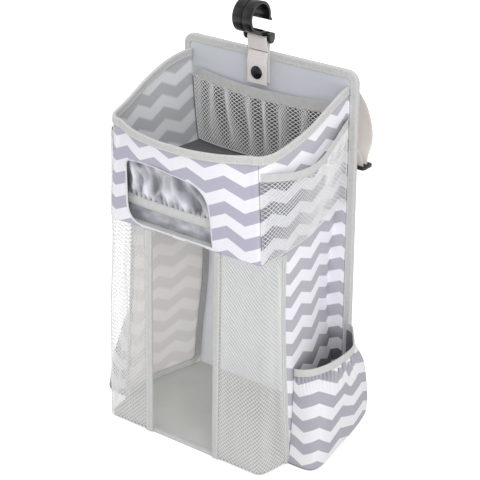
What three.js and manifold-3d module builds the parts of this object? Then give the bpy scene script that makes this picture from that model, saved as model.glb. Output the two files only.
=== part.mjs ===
// A hanging nursery and stroller organizer: a stiff back panel carries a deep bin with a
// wipes pocket under it, an open stacker below, side pockets, a hook and two rear loops.
// Millimetres, +Z up, the front faces -Y. The origin is the centre of the underside.
import * as THREE from "three";
import { mergeVertices } from "three/addons/utils/BufferGeometryUtils.js";
import Module from "manifold-3d";

const wasm = await Module();
wasm.setup();

// Driving dimensions: thicknesses and clearances
const clothThick = 1.4;
const netThick = 1.0;
const liningThick = 0.8;
const boardThick = 2.0;
const tapeThick = 0.9;
const webThick = 1.6;
const gap = 0.3;
const curvedGap = 0.5;

// Driving dimensions: back panel
const panelY = 80;
const panelWidth = 244;
const panelHeight = 440;
const panelCorner = 14;
const bindWidth = 9;

// Driving dimensions: front and side walls
const baseDepth = 164;
const rimDepth = 154;
const baseFrontY = panelY - baseDepth;
const rimFrontY = panelY - rimDepth;
const rimHeight = 370;
const baseCornerX = 114;
const rimCornerX = 106.5;
const cornerReach = 9;
const seamFloorX = 104.7;
const seamWaistX = 90;
const seamTopX = 111;
const seamWaistZ = 165;
const seamTopZ = 400;
const swellBase = 12;
const swellMid = 3;
const swellRim = 10;
const wallFoot = 1.2;

// Driving dimensions: bin, band and window
const bandBottom = 262;
const bandWrap = 14;
const frontBow = 20;
const bowPower = 2.4;
const frontSteps = 9;
const rimFrontMid = 380;
const rimCornerZ = 384;
const rimRearZ = 421.5;
const rimTapeDrop = 9;
const binFloorZ = 306;
const windowSize = { left: -79, right: 43, sill: 266.8, head: 345.5, headRight: 337, corner: 9 };
const windowTape = 2.2;

// Driving dimensions: wipes pocket
const curtainTop = 349;
const curtainBottom = 295.8;
const curtainLean = 7;
const curtainSpread = 7;
const gatherDepth = 1.6;
const gatherCount = 9;
const elasticHeight = 11;
const slitHeight = 4.8;
const partitionLean = 12;
const partitionTop = 357;

// Driving dimensions: lower stacker
const openingHalf = 45;
const openingTape = 9;
const meshWrap = 42;
const seamTape = 7;
const floorTapeDrop = 8;
const cornerTape = 8;
const cornerTapeTop = 252;

// Driving dimensions: pockets
const innerPocket = { half: 101, foot: 312, top: 391, sag: 6, belly: 10, tape: 12, folds: 9, foldDepth: 1.8 };
const sidePocket = { rear: 386, front: 369, low: 363, tape: 9, belly: 10, foot: 262.6, rearFoot: 281 };
const pouch = { frontTop: 113, rearTop: 134, tape: 9, baseReach: 38, mouthReach: 34, swell: 4, taper: 37 };
const netGap = { wide: 7.5, tall: 13, pitch: 10.5, rise: 13.5 };
const pouchFrontBase = panelY - 0.738 * baseDepth;
const pouchFrontTop = panelY - 0.616 * baseDepth;
const pouchRearX = 120.3;
const pouchFoot = 0.6;

// Driving dimensions: centre strap, snap and hook
const strapX = -10;
const strapWidth = 28;
const legY = panelY - 2.3;
const legFoot = panelHeight - 37;
const flapStandOff = 5.2;
const foldAxis = { y: panelY - 4, z: panelHeight + 3.2 };
const knuckleRadius = 2.6;
const barAxis = { y: panelY - 4, z: panelHeight + 16 };
const barRadius = 2.2;
const barPlay = 0.4;
const snapZ = panelHeight - 25;
const snapCapRadius = 8;
const snapRingRadius = 6;
const snapBore = 3.3;
const hookWidth = 26;
const hookRadius = 19;
const hookWall = 3.2;
const hookCentre = { y: panelY - 18, z: panelHeight + 44 };
const hookMouth = { from: -80, to: -12 };
const earThick = 4;
const grooveDepth = 0.8;

// Driving dimensions: rear loops
const loopX = 94;
const loopWidth = 28;
const loopReach = 49.6;
const loopTop = panelHeight - 9.5;
const loopLanding = 357;
const loopEnd = 374;
const adjuster = { width: 37, depth: 19, thick: 4, slot: 4.6, bar: 3.6, y: panelY + 42.6, z: 312.6 };

// Colours seen on the object
const colours = {
  print: 0xd4d2de, binding: 0xcfcfcc, mesh: 0xe6e5e3, lining: 0xb8bec8, darkLining: 0x7b7b7d,
  board: 0xc9c2b4, floor: 0xacaeac, satin: 0xa5acb2, webbing: 0xded6d2, plastic: 0x17171a,
};

const group = new THREE.Group();

function add(name, geometry, colour, roughness = 0.85, metalness = 0) {
  const material = new THREE.MeshStandardMaterial({ color: colours[colour], roughness, metalness });
  const mesh = new THREE.Mesh(geometry, material);
  mesh.name = name;
  group.add(mesh);
}

// Shape helpers

const { lerp, smoothstep } = THREE.MathUtils;
const point = (x, y, z) => new THREE.Vector3(x, y, z);
const steps = (count) => Array.from({ length: count + 1 }, (_, i) => i / count);

// A geometry from points and faces, turned so that its faces point out.
function solidFrom(points, faces) {
  let volume = 0;
  for (let i = 0; i < faces.length; i += 3) {
    const [a, b, c] = [points[faces[i]], points[faces[i + 1]], points[faces[i + 2]]];
    volume += a.dot(b.clone().cross(c));
  }
  if (volume < 0) faces.reverse();
  const geometry = new THREE.BufferGeometry().setFromPoints(points);
  geometry.setIndex(faces);
  return geometry;
}

// A closed solid between two like grids of points.
function between(outer, inner) {
  const rows = outer.length;
  const cols = outer[0].length;
  const points = [...outer.flat(), ...inner.flat()];
  const id = (side, row, col) => (side * rows + row) * cols + col;
  const faces = [];
  const quad = (a, b, c, d) => faces.push(a, b, c, a, c, d);
  for (let c = 0; c < cols - 1; c++) {
    for (let r = 0; r < rows - 1; r++) {
      quad(id(0, r, c), id(0, r, c + 1), id(0, r + 1, c + 1), id(0, r + 1, c));
      quad(id(1, r, c), id(1, r + 1, c), id(1, r + 1, c + 1), id(1, r, c + 1));
    }
    quad(id(0, 0, c), id(1, 0, c), id(1, 0, c + 1), id(0, 0, c + 1));
    quad(id(0, rows - 1, c), id(0, rows - 1, c + 1), id(1, rows - 1, c + 1), id(1, rows - 1, c));
  }
  for (let r = 0; r < rows - 1; r++) {
    quad(id(0, r, 0), id(0, r + 1, 0), id(1, r + 1, 0), id(1, r, 0));
    quad(id(0, r, cols - 1), id(1, r, cols - 1), id(1, r + 1, cols - 1), id(0, r + 1, cols - 1));
  }
  return solidFrom(points, faces);
}

// A plan path moved sideways by a distance, with mitred corners; inwards is to the right of travel.
function offsetPath(path, distance) {
  return path.map((p, i) => {
    const before = path[Math.max(i - 1, 0)];
    const after = path[Math.min(i + 1, path.length - 1)];
    const normalOf = (a, b) => new THREE.Vector2(b[1] - a[1], a[0] - b[0]).normalize();
    const first = i === 0 ? normalOf(p, after) : normalOf(before, p);
    const second = i === path.length - 1 ? first : normalOf(p, after);
    const middle = first.clone().add(second).normalize();
    const reach = distance / Math.max(middle.dot(first), 0.5);
    return [p[0] + middle.x * reach, p[1] + middle.y * reach];
  });
}

// A wall from plan paths at rising levels, each with its height at each point.
function wall(levels, thickness) {
  const grid = (distance) => levels.map(({ path, heights }) =>
    offsetPath(path, distance).map(([x, y], i) => point(x, y, heights[i])));
  return between(grid(0), grid(thickness));
}

// A wall between two edges whose heights may change along it; its plan path depends on height.
function wallBetween(pathAt, lowAt, highAt, rows, thickness) {
  const guide = pathAt(rimHeight);
  const levels = steps(rows).map((k) => {
    const heights = guide.map(([x, y]) => lerp(lowAt(x, y), highAt(x, y), k));
    return { path: heights.map((z, i) => pathAt(z)[i]), heights };
  });
  return wall(levels, thickness);
}

// A solid swept through stations of a point and two axes; its profile is a closed outline.
function sweep(stations, profile) {
  const count = profile.length;
  const points = stations.flatMap(({ at, out, up }) =>
    profile.map(([a, b]) => at.clone().addScaledVector(out, a).addScaledVector(up, b)));
  const faces = [];
  const last = (stations.length - 1) * count;
  for (let row = 0; row < last; row += count) {
    for (let i = 0; i < count; i++) {
      const j = (i + 1) % count;
      faces.push(row + i, row + j, row + count + j);
      faces.push(row + i, row + count + j, row + count + i);
    }
  }
  const flat = profile.map(([a, b]) => new THREE.Vector2(a, b));
  const turned = THREE.ShapeUtils.isClockWise(flat);
  for (const [a, b, c] of THREE.ShapeUtils.triangulateShape(flat, [])) {
    const [p, q] = turned ? [c, b] : [b, c];
    faces.push(a, q, p, last + a, last + p, last + q);
  }
  return solidFrom(points, faces);
}

function outline(points, holes = []) {
  const shape = new THREE.Shape(points.map(([x, y]) => new THREE.Vector2(x, y)));
  shape.holes = holes.map((hole) => new THREE.Path(hole.map(([x, y]) => new THREE.Vector2(x, y))));
  return shape;
}

// A flat plate from a plan outline, between two heights.
function plate(shape, low, high) {
  const settings = { depth: high - low, bevelEnabled: false, curveSegments: 5 };
  return new THREE.ExtrudeGeometry(shape, settings).translate(0, 0, low);
}

// A flat plate that stands upright: its outline is drawn in X and Z, between two Y places.
function upright(shape, front, back) {
  return plate(shape, front, back).rotateX(Math.PI / 2).translate(0, front + back, 0);
}

// A plate whose outline is drawn in Y and Z, centred on a place along X.
function acrossX(shape, width, centre) {
  return plate(shape, centre - width / 2, centre + width / 2).rotateY(Math.PI / 2).rotateX(Math.PI / 2);
}

function mirrored(geometry) {
  const plain = weld(geometry);
  const points = [];
  const places = plain.attributes.position;
  for (let i = 0; i < places.count; i++) {
    points.push(point(-places.getX(i), places.getY(i), places.getZ(i)));
  }
  return solidFrom(points, [...plain.index.array]);
}

function weld(geometry) {
  const plain = geometry.clone();
  plain.deleteAttribute("normal");
  plain.deleteAttribute("uv");
  return mergeVertices(plain, 1e-4);
}

function manifoldOf(geometry) {
  const plain = weld(geometry);
  return new wasm.Manifold(new wasm.Mesh({
    numProp: 3,
    vertProperties: new Float32Array(plain.attributes.position.array),
    triVerts: new Uint32Array(plain.index.array),
  }));
}

function geometryOf(solid) {
  const { vertProperties, triVerts } = solid.getMesh();
  const geometry = new THREE.BufferGeometry();
  geometry.setAttribute("position", new THREE.BufferAttribute(new Float32Array(vertProperties), 3));
  geometry.setIndex([...triVerts]);
  return geometry;
}

function cut(geometry, ...tools) {
  return geometryOf(tools.reduce((solid, tool) => solid.subtract(manifoldOf(tool)), manifoldOf(geometry)));
}

function join(...parts) {
  return geometryOf(parts.map(manifoldOf).reduce((solid, part) => solid.add(part)));
}

// A disc or ring turned about an axis along Y; its profile is radius and Y.
function turnedAboutY(profile, x, z) {
  const geometry = new THREE.LatheGeometry(profile.map(([r, y]) => new THREE.Vector2(r, y)), 16);
  return geometry.translate(x, 0, z);
}

function addPair(name, right, colour, roughness) {
  add(`${name}_right`, right, colour, roughness);
  add(`${name}_left`, mirrored(right), colour, roughness);
}

// Places on the walls

const frontAt = (z) => lerp(baseFrontY, rimFrontY, z / rimHeight);
const cornerXAt = (z) => lerp(baseCornerX, rimCornerX, z / rimHeight);

function rearXAt(z) {
  if (z < seamWaistZ) return lerp(seamFloorX, seamWaistX, smoothstep(z, 0, seamWaistZ));
  return lerp(seamWaistX, seamTopX, smoothstep(z, seamWaistZ, seamTopZ));
}

function swellAt(z) {
  return z < bandBottom ? lerp(swellBase, swellMid, z / bandBottom)
    : lerp(swellMid, swellRim, (z - bandBottom) / (rimRearZ - bandBottom));
}

// How far forward a place on a side wall is: 0 at the back panel, 1 at the front.
const forwardAt = (y, z) => (panelY - y) / (panelY - frontAt(z));

function sideXAt(y, z) {
  const t = forwardAt(y, z);
  return lerp(rearXAt(z), cornerXAt(z), t) + swellAt(z) * Math.sin(Math.PI * Math.min(Math.max(t, 0), 1));
}

// The bin's front bows forward of the line between its corners, more so towards the rim.
function bowAt(x, z) {
  const half = cornerXAt(z) - cornerReach;
  const rise = Math.max(z - bandBottom, 0) / (rimCornerZ - bandBottom);
  return frontBow * rise * Math.max(1 - (Math.abs(x) / half) ** bowPower, 0);
}

const bowedFrontAt = (x, z) => frontAt(z) - bowAt(x, z);

// The bin's top edge falls from the back panel to the front corners and dips across the front.
function rimAt(x, y) {
  const t = forwardAt(y, rimHeight);
  if (t < 0.96) return lerp(rimCornerZ, rimRearZ, (1 + Math.cos(Math.PI * t)) / 2);
  return lerp(rimFrontMid, rimCornerZ, (Math.abs(x) / rimCornerX) ** 2);
}

// Plan path at one height: down the right side from a wrap distance, round the corner, along the front.
function cornerPath(z, wrap, innerX, sideSteps, alongSteps) {
  const front = frontAt(z);
  const startY = front + cornerReach;
  const start = new THREE.Vector2(sideXAt(startY, z), startY);
  const turn = new THREE.Vector2(cornerXAt(z), front);
  const end = new THREE.Vector2(cornerXAt(z) - cornerReach, front);
  const side = steps(sideSteps).slice(0, -1).map((s) => {
    const y = lerp(front + wrap, startY, s);
    return [sideXAt(y, z), y];
  });
  const arc = new THREE.QuadraticBezierCurve(start, turn, end).getPoints(4).map((p) => [p.x, p.y]);
  const along = steps(alongSteps).slice(1).map((s) => {
    const x = lerp(end.x, innerX, s);
    return [x, bowedFrontAt(x, z)];
  });
  return [...side, ...arc, ...along];
}

// The whole inside of the walls at one height, less a clearance, as a closed plan outline.
function insideOutline(z, clearance, backY) {
  const half = offsetPath(cornerPath(z, backY - frontAt(z), 0, 8, frontSteps), clothThick + clearance);
  half[0][1] = backY;
  const other = half.map(([x, y]) => [-x, y]).reverse();
  return [...half.slice(0, -1), ...other.slice(1)];
}

// Back panel: a stiff board between a lining and an outer cover, bound at the sides and top

function panelOutline(inset, foot = inset) {
  const half = panelWidth / 2 - inset;
  const radius = panelCorner - inset;
  const top = panelHeight - inset;
  const shape = new THREE.Shape();
  shape.moveTo(-half, foot).lineTo(half, foot).lineTo(half, top - radius);
  shape.absarc(half - radius, top - radius, radius, 0, Math.PI / 2);
  shape.lineTo(-half + radius, top);
  shape.absarc(-half + radius, top - radius, radius, Math.PI / 2, Math.PI);
  shape.lineTo(-half, foot);
  return shape;
}

const layerInset = tapeThick + gap;
const liningBack = panelY + liningThick;
const boardFront = liningBack + gap;
const boardBack = boardFront + boardThick;
const coverFront = boardBack + gap;
const panelBack = coverFront + liningThick;
const bindingFront = panelY - gap - tapeThick;
const bindingBack = panelBack + gap + tapeThick;

add("back_lining", upright(panelOutline(layerInset), panelY, liningBack), "lining", 0.6);
add("back_board", upright(panelOutline(layerInset), boardFront, boardBack), "board", 0.9);
add("back_cover", upright(panelOutline(layerInset), coverFront, panelBack), "print", 0.85);

function panelBinding() {
  const body = upright(panelOutline(0), bindingFront, bindingBack);
  const below = -bindWidth;
  const opening = upright(panelOutline(bindWidth, below), bindingFront - 1, bindingBack + 1);
  const groove = upright(panelOutline(tapeThick, below), bindingFront + tapeThick, bindingBack - tapeThick);
  return cut(body, opening, groove);
}
add("back_binding", panelBinding(), "binding", 0.9);

// Side panels: one printed cloth each, with a flange on the back panel and an L-shaped front edge

const flangeBack = panelY - gap;
const flangeX = panelWidth / 2 - bindWidth - 0.5;

function sidePanel() {
  const flangeFront = flangeBack - clothThick;
  const pathAt = (z) => {
    const seamY = frontAt(z) + bandWrap + gap;
    const along = steps(9).map((s) => lerp(flangeFront, seamY, s));
    return [[flangeX, flangeFront], ...along.map((y) => [sideXAt(y, z), y])];
  };
  const whole = wallBetween(pathAt, () => wallFoot, rimAt, 14, clothThick);
  const meshEdge = (z) => frontAt(z) + meshWrap + gap;
  const lowerFront = outline([[-200, -1], [meshEdge(0), -1], [meshEdge(bandBottom), bandBottom - gap],
    [-200, bandBottom - gap]]);
  return cut(whole, acrossX(lowerFront, 2 * panelWidth, 0));
}
addPair("side_panel", sidePanel(), "print");

// Front band: the printed front of the bin, wrapped round both corners, with the wipes window

function windowOutline(grow) {
  const { left, right, sill, head, headRight, corner } = windowSize;
  const shape = new THREE.Shape();
  const l = left - grow;
  const r = right + grow;
  const s = sill - grow;
  const h = head + grow;
  const slope = headRight + grow;
  shape.moveTo(l + corner, s).lineTo(r, s).lineTo(r, slope - 2 * corner);
  shape.quadraticCurveTo(r, slope, r - 2 * corner, slope + 3);
  shape.lineTo(lerp(l, r, 0.45), h).lineTo(l + corner, h);
  shape.quadraticCurveTo(l, h, l, h - corner).lineTo(l, s + corner);
  shape.quadraticCurveTo(l, s, l + corner, s);
  return shape;
}

// A closed path round the bin's front from one side wall to the other.
const bothHalves = (half) => [...half, ...half.slice(0, -1).map(([x, y]) => [-x, y]).reverse()];
const bandPath = (z) => bothHalves(cornerPath(z, bandWrap, 0, 1, frontSteps));
const windowCutter = (grow) => upright(windowOutline(grow), rimFrontY - 40, rimFrontY + 30);

function frontBand() {
  return cut(wallBetween(bandPath, () => bandBottom, rimAt, 6, clothThick), windowCutter(0));
}
add("front_band", frontBand(), "print");

// The window's tape follows the band's own face, so it is cut from a second wall before it.
function windowBinding() {
  const outsideOf = (z) => offsetPath(bandPath(z), -gap - tapeThick);
  const wallBefore = wallBetween(outsideOf, () => bandBottom, rimAt, 6, tapeThick);
  const frame = cut(windowCutter(windowTape), windowCutter(0));
  return geometryOf(manifoldOf(wallBefore).intersect(manifoldOf(frame)));
}
add("window_binding", windowBinding(), "binding", 0.9);

// One tape folded over the whole top edge of the bin, from panel corner to panel corner.
function rimBinding() {
  const startY = flangeBack - clothThick - gap;
  const pathAt = (z) => {
    const side = steps(12).map((s) => {
      const y = lerp(startY, rimFrontY + bandWrap, s);
      return [sideXAt(y, z), y];
    });
    return bothHalves([...side, ...cornerPath(z, bandWrap, 0, 1, frontSteps).slice(1)]);
  };
  const heights = pathAt(rimHeight).map(([x, y]) => rimAt(x, y));
  const edge = (below, inwards) => offsetPath(heights.map((z, i) => pathAt(z - below)[i]), inwards);
  const middle = edge(0, clothThick / 2);
  const inside = edge(0, clothThick / 2 + 1);
  const foot = edge(rimTapeDrop, clothThick / 2);
  const stations = middle.map(([x, y], i) => ({
    at: point(x, y, heights[i]),
    out: point(x - inside[i][0], y - inside[i][1], 0),
    up: point((x - foot[i][0]) / rimTapeDrop, (y - foot[i][1]) / rimTapeDrop, 1),
  }));
  const near = clothThick / 2 + 0.5;
  const far = near + tapeThick;
  const profile = [[near, -rimTapeDrop], [far, -rimTapeDrop], [far, gap + tapeThick],
    [-far, gap + tapeThick], [-far, -rimTapeDrop], [-near, -rimTapeDrop], [-near, gap], [near, gap]];
  return sweep(stations, profile);
}
add("rim_binding", rimBinding(), "binding", 0.9);

// Bin floor, and the shallow wipes pocket under it

const floorBackY = panelY - gap;

const binFloorShape = (clearance) => outline(insideOutline(binFloorZ, clearance, floorBackY)
  .map(([x, y]) => [x, Math.max(y, bowedFrontAt(x, binFloorZ) + partitionLean + 2)]));

add("bin_floor_board", plate(binFloorShape(1.2), binFloorZ, binFloorZ + boardThick), "board", 0.9);
add("bin_floor_lining", plate(binFloorShape(0.6), binFloorZ + boardThick + gap,
  binFloorZ + boardThick + gap + liningThick), "darkLining", 0.8);
add("wipes_floor", plate(outline(insideOutline(bandBottom, 0.5, floorBackY)),
  bandBottom + 0.4, bandBottom + 0.4 + boardThick), "floor", 0.85);

// A cloth hung in X and Z whose place in Y is a function of both; it is thickened forwards.
function hungCloth(spanAt, lowAt, highAt, placeY, thickness, cols, rows) {
  const grid = (shift) => steps(rows).map((v) => steps(cols).map((u) => {
    const [left, right] = spanAt(v);
    const x = lerp(left, right, u);
    const z = lerp(lowAt(x), highAt(x), v);
    return point(x, placeY(x, z, u, v) - shift, z);
  }));
  return between(grid(0), grid(thickness));
}

const pocketLeft = windowSize.left - curtainSpread;
const pocketRight = windowSize.right + curtainSpread;
const wipesSpan = () => [pocketLeft, pocketRight];
const behindBand = clothThick + gap;

function curtainY(x, z, u, v) {
  const lean = lerp(curtainLean, 0, v);
  const gather = gatherDepth * (1 - v) * Math.sin(2 * Math.PI * gatherCount * u) * Math.sin(Math.PI * u);
  return bowedFrontAt(x, z) + behindBand + liningThick + lean + Math.max(gather, -lean);
}
add("wipes_curtain", hungCloth(wipesSpan, () => curtainBottom, () => curtainTop,
  curtainY, liningThick, 4 * gatherCount, 3), "satin", 0.35);

const elasticY = (x, z) => bowedFrontAt(x, z) + behindBand + liningThick + curtainLean;
const slitTop = curtainBottom - gap - elasticHeight;
add("wipes_elastic", hungCloth(wipesSpan, () => slitTop, () => curtainBottom - gap, elasticY,
  netThick, frontSteps, 1), "binding", 0.9);
const lipFoot = bandBottom + 0.4 + boardThick + gap;
add("wipes_lip", hungCloth(wipesSpan, () => lipFoot, () => slitTop - slitHeight, elasticY,
  liningThick, frontSteps, 2), "satin", 0.35);

// The partition closes the wipes pocket from the bin floor up to the band above the window.
const partitionFoot = binFloorZ + boardThick + 2 * gap + liningThick;
const partitionY = (x, z, u, v) => bowedFrontAt(x, z) + behindBand + liningThick
  + lerp(partitionLean + 3, 0.2, v);
function partitionSpan(v) {
  const half = lerp(rimCornerX, rimCornerX - cornerReach, v) - clothThick;
  return [-half, half];
}
add("wipes_partition", hungCloth(partitionSpan, () => partitionFoot, () => partitionTop, partitionY,
  liningThick, 2 * frontSteps, 3), "lining", 0.6);

// Gathered net pocket inside the bin, on the back panel, with its elastic top edge

const innerSpan = () => [-innerPocket.half, innerPocket.half];
const pocketSag = (x) => innerPocket.sag * (1 - (x / innerPocket.half) ** 2);
const pocketBelly = (x) => innerPocket.belly * (1 - (x / innerPocket.half) ** 4);

function innerPocketY(x, z, u, v) {
  const folds = innerPocket.foldDepth * Math.sin(2 * Math.PI * innerPocket.folds * u) * Math.sin(Math.PI * u);
  return panelY - gap - pocketBelly(x) * lerp(0.7, 1, v) - folds * v;
}
add("inner_pocket_net", hungCloth(innerSpan, () => innerPocket.foot,
  (x) => innerPocket.top - pocketSag(x) - gap, innerPocketY, netThick, 5 * innerPocket.folds, 3), "mesh");
add("inner_pocket_elastic", hungCloth(innerSpan, (x) => innerPocket.top - pocketSag(x),
  (x) => innerPocket.top + innerPocket.tape - pocketSag(x), (x) => panelY - gap - pocketBelly(x),
  netThick, 16, 1), "binding", 0.9);

// The net's diamond gaps, in staggered rows, drawn larger and fewer than the real mesh

const netPlaces = (columns, rows, first, foot) => Array.from({ length: rows }, (_, row) =>
  Array.from({ length: columns - (row % 2) }, (_, column) =>
    [first + (column + (row % 2) / 2) * netGap.pitch, foot + row * netGap.rise])).flat();

function diamond(across, z) {
  const { wide, tall } = netGap;
  return outline([[across - wide / 2, z], [across, z - tall / 2], [across + wide / 2, z], [across, z + tall / 2]]);
}

// Net pockets on the outside of the bin's side walls

const pocketRearX = flangeX;
const pocketRearY = flangeBack - clothThick - gap;
const pocketMouthAt = (t) => sidePocket.rear + (sidePocket.low - sidePocket.rear) * smoothstep(t, 0.15, 0.6)
  + (sidePocket.front - sidePocket.low) * smoothstep(t, 0.7, 1);
const pocketFootAt = (t) => lerp(sidePocket.rearFoot, sidePocket.foot, smoothstep(t, 0, 0.45));

// A place on a side pocket: t runs forward, v rises from the foot to the mouth.
function sidePocketAt(t, v, z) {
  const frontEnd = frontAt(z) + cornerReach + 0.6;
  const y = lerp(pocketRearY, frontEnd, t);
  const wallX = sideXAt(y, z) + curvedGap + netThick;
  const bridged = Math.max(wallX, lerp(pocketRearX, wallX, Math.min(t / 0.3, 1)));
  return [bridged + sidePocket.belly * Math.sin(Math.PI * t) ** 0.7 * Math.sin(v * Math.PI / 2), y];
}

function sidePocketPart(lowAt, highAt, rows) {
  const places = steps(12);
  const levels = steps(rows).map((v) => {
    const heights = places.map((t) => lerp(lowAt(t), highAt(t), v));
    const path = places.map((t, i) => {
      const rise = (heights[i] - pocketFootAt(t)) / (pocketMouthAt(t) - pocketFootAt(t));
      return sidePocketAt(t, rise, heights[i]);
    });
    return { path, heights };
  });
  return wall(levels, netThick);
}
const pocketTapeFootAt = (t) => pocketMouthAt(t) - sidePocket.tape;
function sidePocketNet() {
  const cloth = sidePocketPart(pocketFootAt, (t) => pocketTapeFootAt(t) - gap, 3);
  const frontEdge = rimFrontY + cornerReach + netGap.pitch;
  const columns = Math.floor((pocketRearY - 2 * netGap.pitch - frontEdge) / netGap.pitch);
  const rows = Math.floor((sidePocket.low - sidePocket.tape - sidePocket.rearFoot) / netGap.rise);
  const places = netPlaces(columns, rows, frontEdge, sidePocket.foot + netGap.rise);
  const gaps = places.map(([y, z]) => acrossX(diamond(y, z), 60, panelWidth / 2));
  return cut(cloth, ...gaps);
}
addPair("side_pocket_net", sidePocketNet(), "mesh");
addPair("side_pocket_elastic", sidePocketPart(pocketTapeFootAt, pocketMouthAt, 1), "binding", 0.9);

// Lower front: net panels that wrap the corners, taped at the opening and at the side seam

const meshTop = bandBottom - gap;
const meshFoot = wallFoot;

function meshPanel() {
  const pathAt = (z) => cornerPath(z, meshWrap, openingHalf + tapeThick + gap, 4, 1);
  const cloth = wallBetween(pathAt, () => meshFoot, () => meshTop, 4, netThick);
  const firstX = openingHalf + openingTape + netGap.pitch * 0.7;
  const columns = Math.floor((rimCornerX - cornerReach - firstX) / netGap.pitch) + 1;
  const rows = Math.floor((meshTop - meshFoot - netGap.rise) / netGap.rise);
  const places = netPlaces(columns, rows, firstX, meshFoot + netGap.rise);
  const gaps = places.map(([x, z]) => upright(diamond(x, z), baseFrontY - 5, baseFrontY + 20));
  return cut(cloth, ...gaps);
}
addPair("front_net", meshPanel(), "mesh");

function edgeTape() {
  const inner = openingHalf;
  const outer = openingHalf + openingTape;
  const profile = outline([[inner, -tapeThick - gap], [outer, -tapeThick - gap], [outer, -gap],
    [inner + tapeThick, -gap], [inner + tapeThick, netThick + gap], [outer, netThick + gap],
    [outer, netThick + gap + tapeThick], [inner, netThick + gap + tapeThick]]);
  const tape = plate(profile, meshFoot, meshTop);
  const places = tape.attributes.position;
  for (let i = 0; i < places.count; i++) places.setY(i, places.getY(i) + frontAt(places.getZ(i)));
  return tape;
}
addPair("opening_tape", edgeTape(), "binding", 0.9);

function meshSeamTape() {
  const pathAt = (z) => [1, 0, -1].map((side) => {
    const y = frontAt(z) + meshWrap + side * seamTape / 2;
    return [sideXAt(y, z) + curvedGap + tapeThick, y];
  });
  return wallBetween(pathAt, () => meshFoot, () => meshTop - 1, 8, tapeThick);
}
addPair("net_seam_tape", meshSeamTape(), "binding", 0.9);

// Floor: base cloth, board and lining, with a tape over the front edge at the opening

const floorInset = 0.5;
const floorFrontY = baseFrontY + floorInset + netThick + tapeThick;
const floorShape = (inset) => outline(insideOutline(0, inset, floorBackY)
  .map(([x, y]) => [x, Math.max(y, floorFrontY + gap)]));
const boardFoot = liningThick + gap;
const liningFoot = boardFoot + boardThick + gap;
add("floor_base_cloth", plate(floorShape(floorInset), 0, liningThick), "floor", 0.9);
add("floor_board", plate(floorShape(floorInset + 4), boardFoot, boardFoot + boardThick), "board", 0.9);
add("floor_lining", plate(floorShape(floorInset), liningFoot, liningFoot + liningThick), "floor", 0.8);

function floorFrontTape() {
  const high = liningFoot + liningThick + gap;
  const low = gap + 0.1;
  const shape = outline([[floorFrontY - tapeThick, low], [floorFrontY, low], [floorFrontY, high],
    [floorFrontY + floorTapeDrop, high], [floorFrontY + floorTapeDrop, high + tapeThick],
    [floorFrontY - tapeThick, high + tapeThick]]);
  return acrossX(shape, 2 * (openingHalf - gap), 0);
}
add("floor_front_tape", floorFrontTape(), "binding", 0.9);

// Seam tapes inside the stacker, down each rear corner and forward along the floor.
function cornerSeamTape() {
  const rear = flangeBack - clothThick - gap;
  const foot = liningFoot + liningThick + gap;
  const bend = 14;
  const ends = frontAt(0) + meshWrap + 2;
  const line = [];
  for (const s of steps(6)) line.push([rear, lerp(cornerTapeTop, foot + bend, s), 1, 0]);
  for (const s of steps(4).slice(1)) {
    const turn = s * Math.PI / 2;
    line.push([rear - bend * (1 - Math.cos(turn)), foot + bend * (1 - Math.sin(turn)),
      Math.cos(turn), Math.sin(turn)]);
  }
  for (const s of steps(5).slice(1)) line.push([lerp(rear - bend, ends, s), foot, 0, 1]);
  const grid = (inwards) => [0, cornerTape].map((width) => line.map(([y, z, back, down]) => {
    const py = y - back * width;
    const pz = z + down * width;
    return point(sideXAt(py, pz) - clothThick - 2 * curvedGap - inwards, py, pz);
  }));
  return between(grid(0), grid(tapeThick));
}
addPair("corner_seam_tape", cornerSeamTape(), "binding", 0.9);

// Bottle pouches: full bags sewn to the side panels, drawn in at the mouth by an elastic tape

const pouchTopAt = (s) => lerp(pouch.rearTop, pouch.frontTop, s);
const pouchFrontY = (z) => lerp(pouchFrontBase, pouchFrontTop, z / pouch.frontTop);

// How far forward a place round a pouch is: s runs from the rear edge to the front seam.
function pouchForwardAt(s, square) {
  const cosine = Math.cos(s * Math.PI);
  return (1 - Math.sign(cosine) * Math.abs(cosine) ** (2 / square)) / 2;
}

// A place round a pouch at one height.
function pouchAt(s, z, reach, square) {
  const turn = s * Math.PI;
  const power = 2 / square;
  const across = pouchForwardAt(s, square);
  const rearY = bindingFront - clothThick - gap;
  const y = lerp(rearY, pouchFrontY(z), across);
  const seamX = sideXAt(pouchFrontY(z), z) + clothThick + gap;
  const rootX = lerp(pouchRearX, seamX, across);
  return [rootX + reach * Math.sin(turn) ** power, y];
}

function pouchPath(z, reach, square, count = 16) {
  return steps(count).map((s) => pouchAt(s, z, reach, square));
}

function pouchShape(rise) {
  return {
    reach: lerp(pouch.baseReach, pouch.mouthReach, rise) + pouch.swell * Math.sin(Math.PI * rise),
    square: lerp(4.2, 2.2, rise),
  };
}

// The bag's lower edge rises from its front corner to its outer rear corner.
const pouchFootAt = (s) => pouchFoot
  + pouch.taper * (1 - pouchForwardAt(s, pouchShape(0).square)) * lerp(0.5, 1, smoothstep(s, 0, 0.2));

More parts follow.
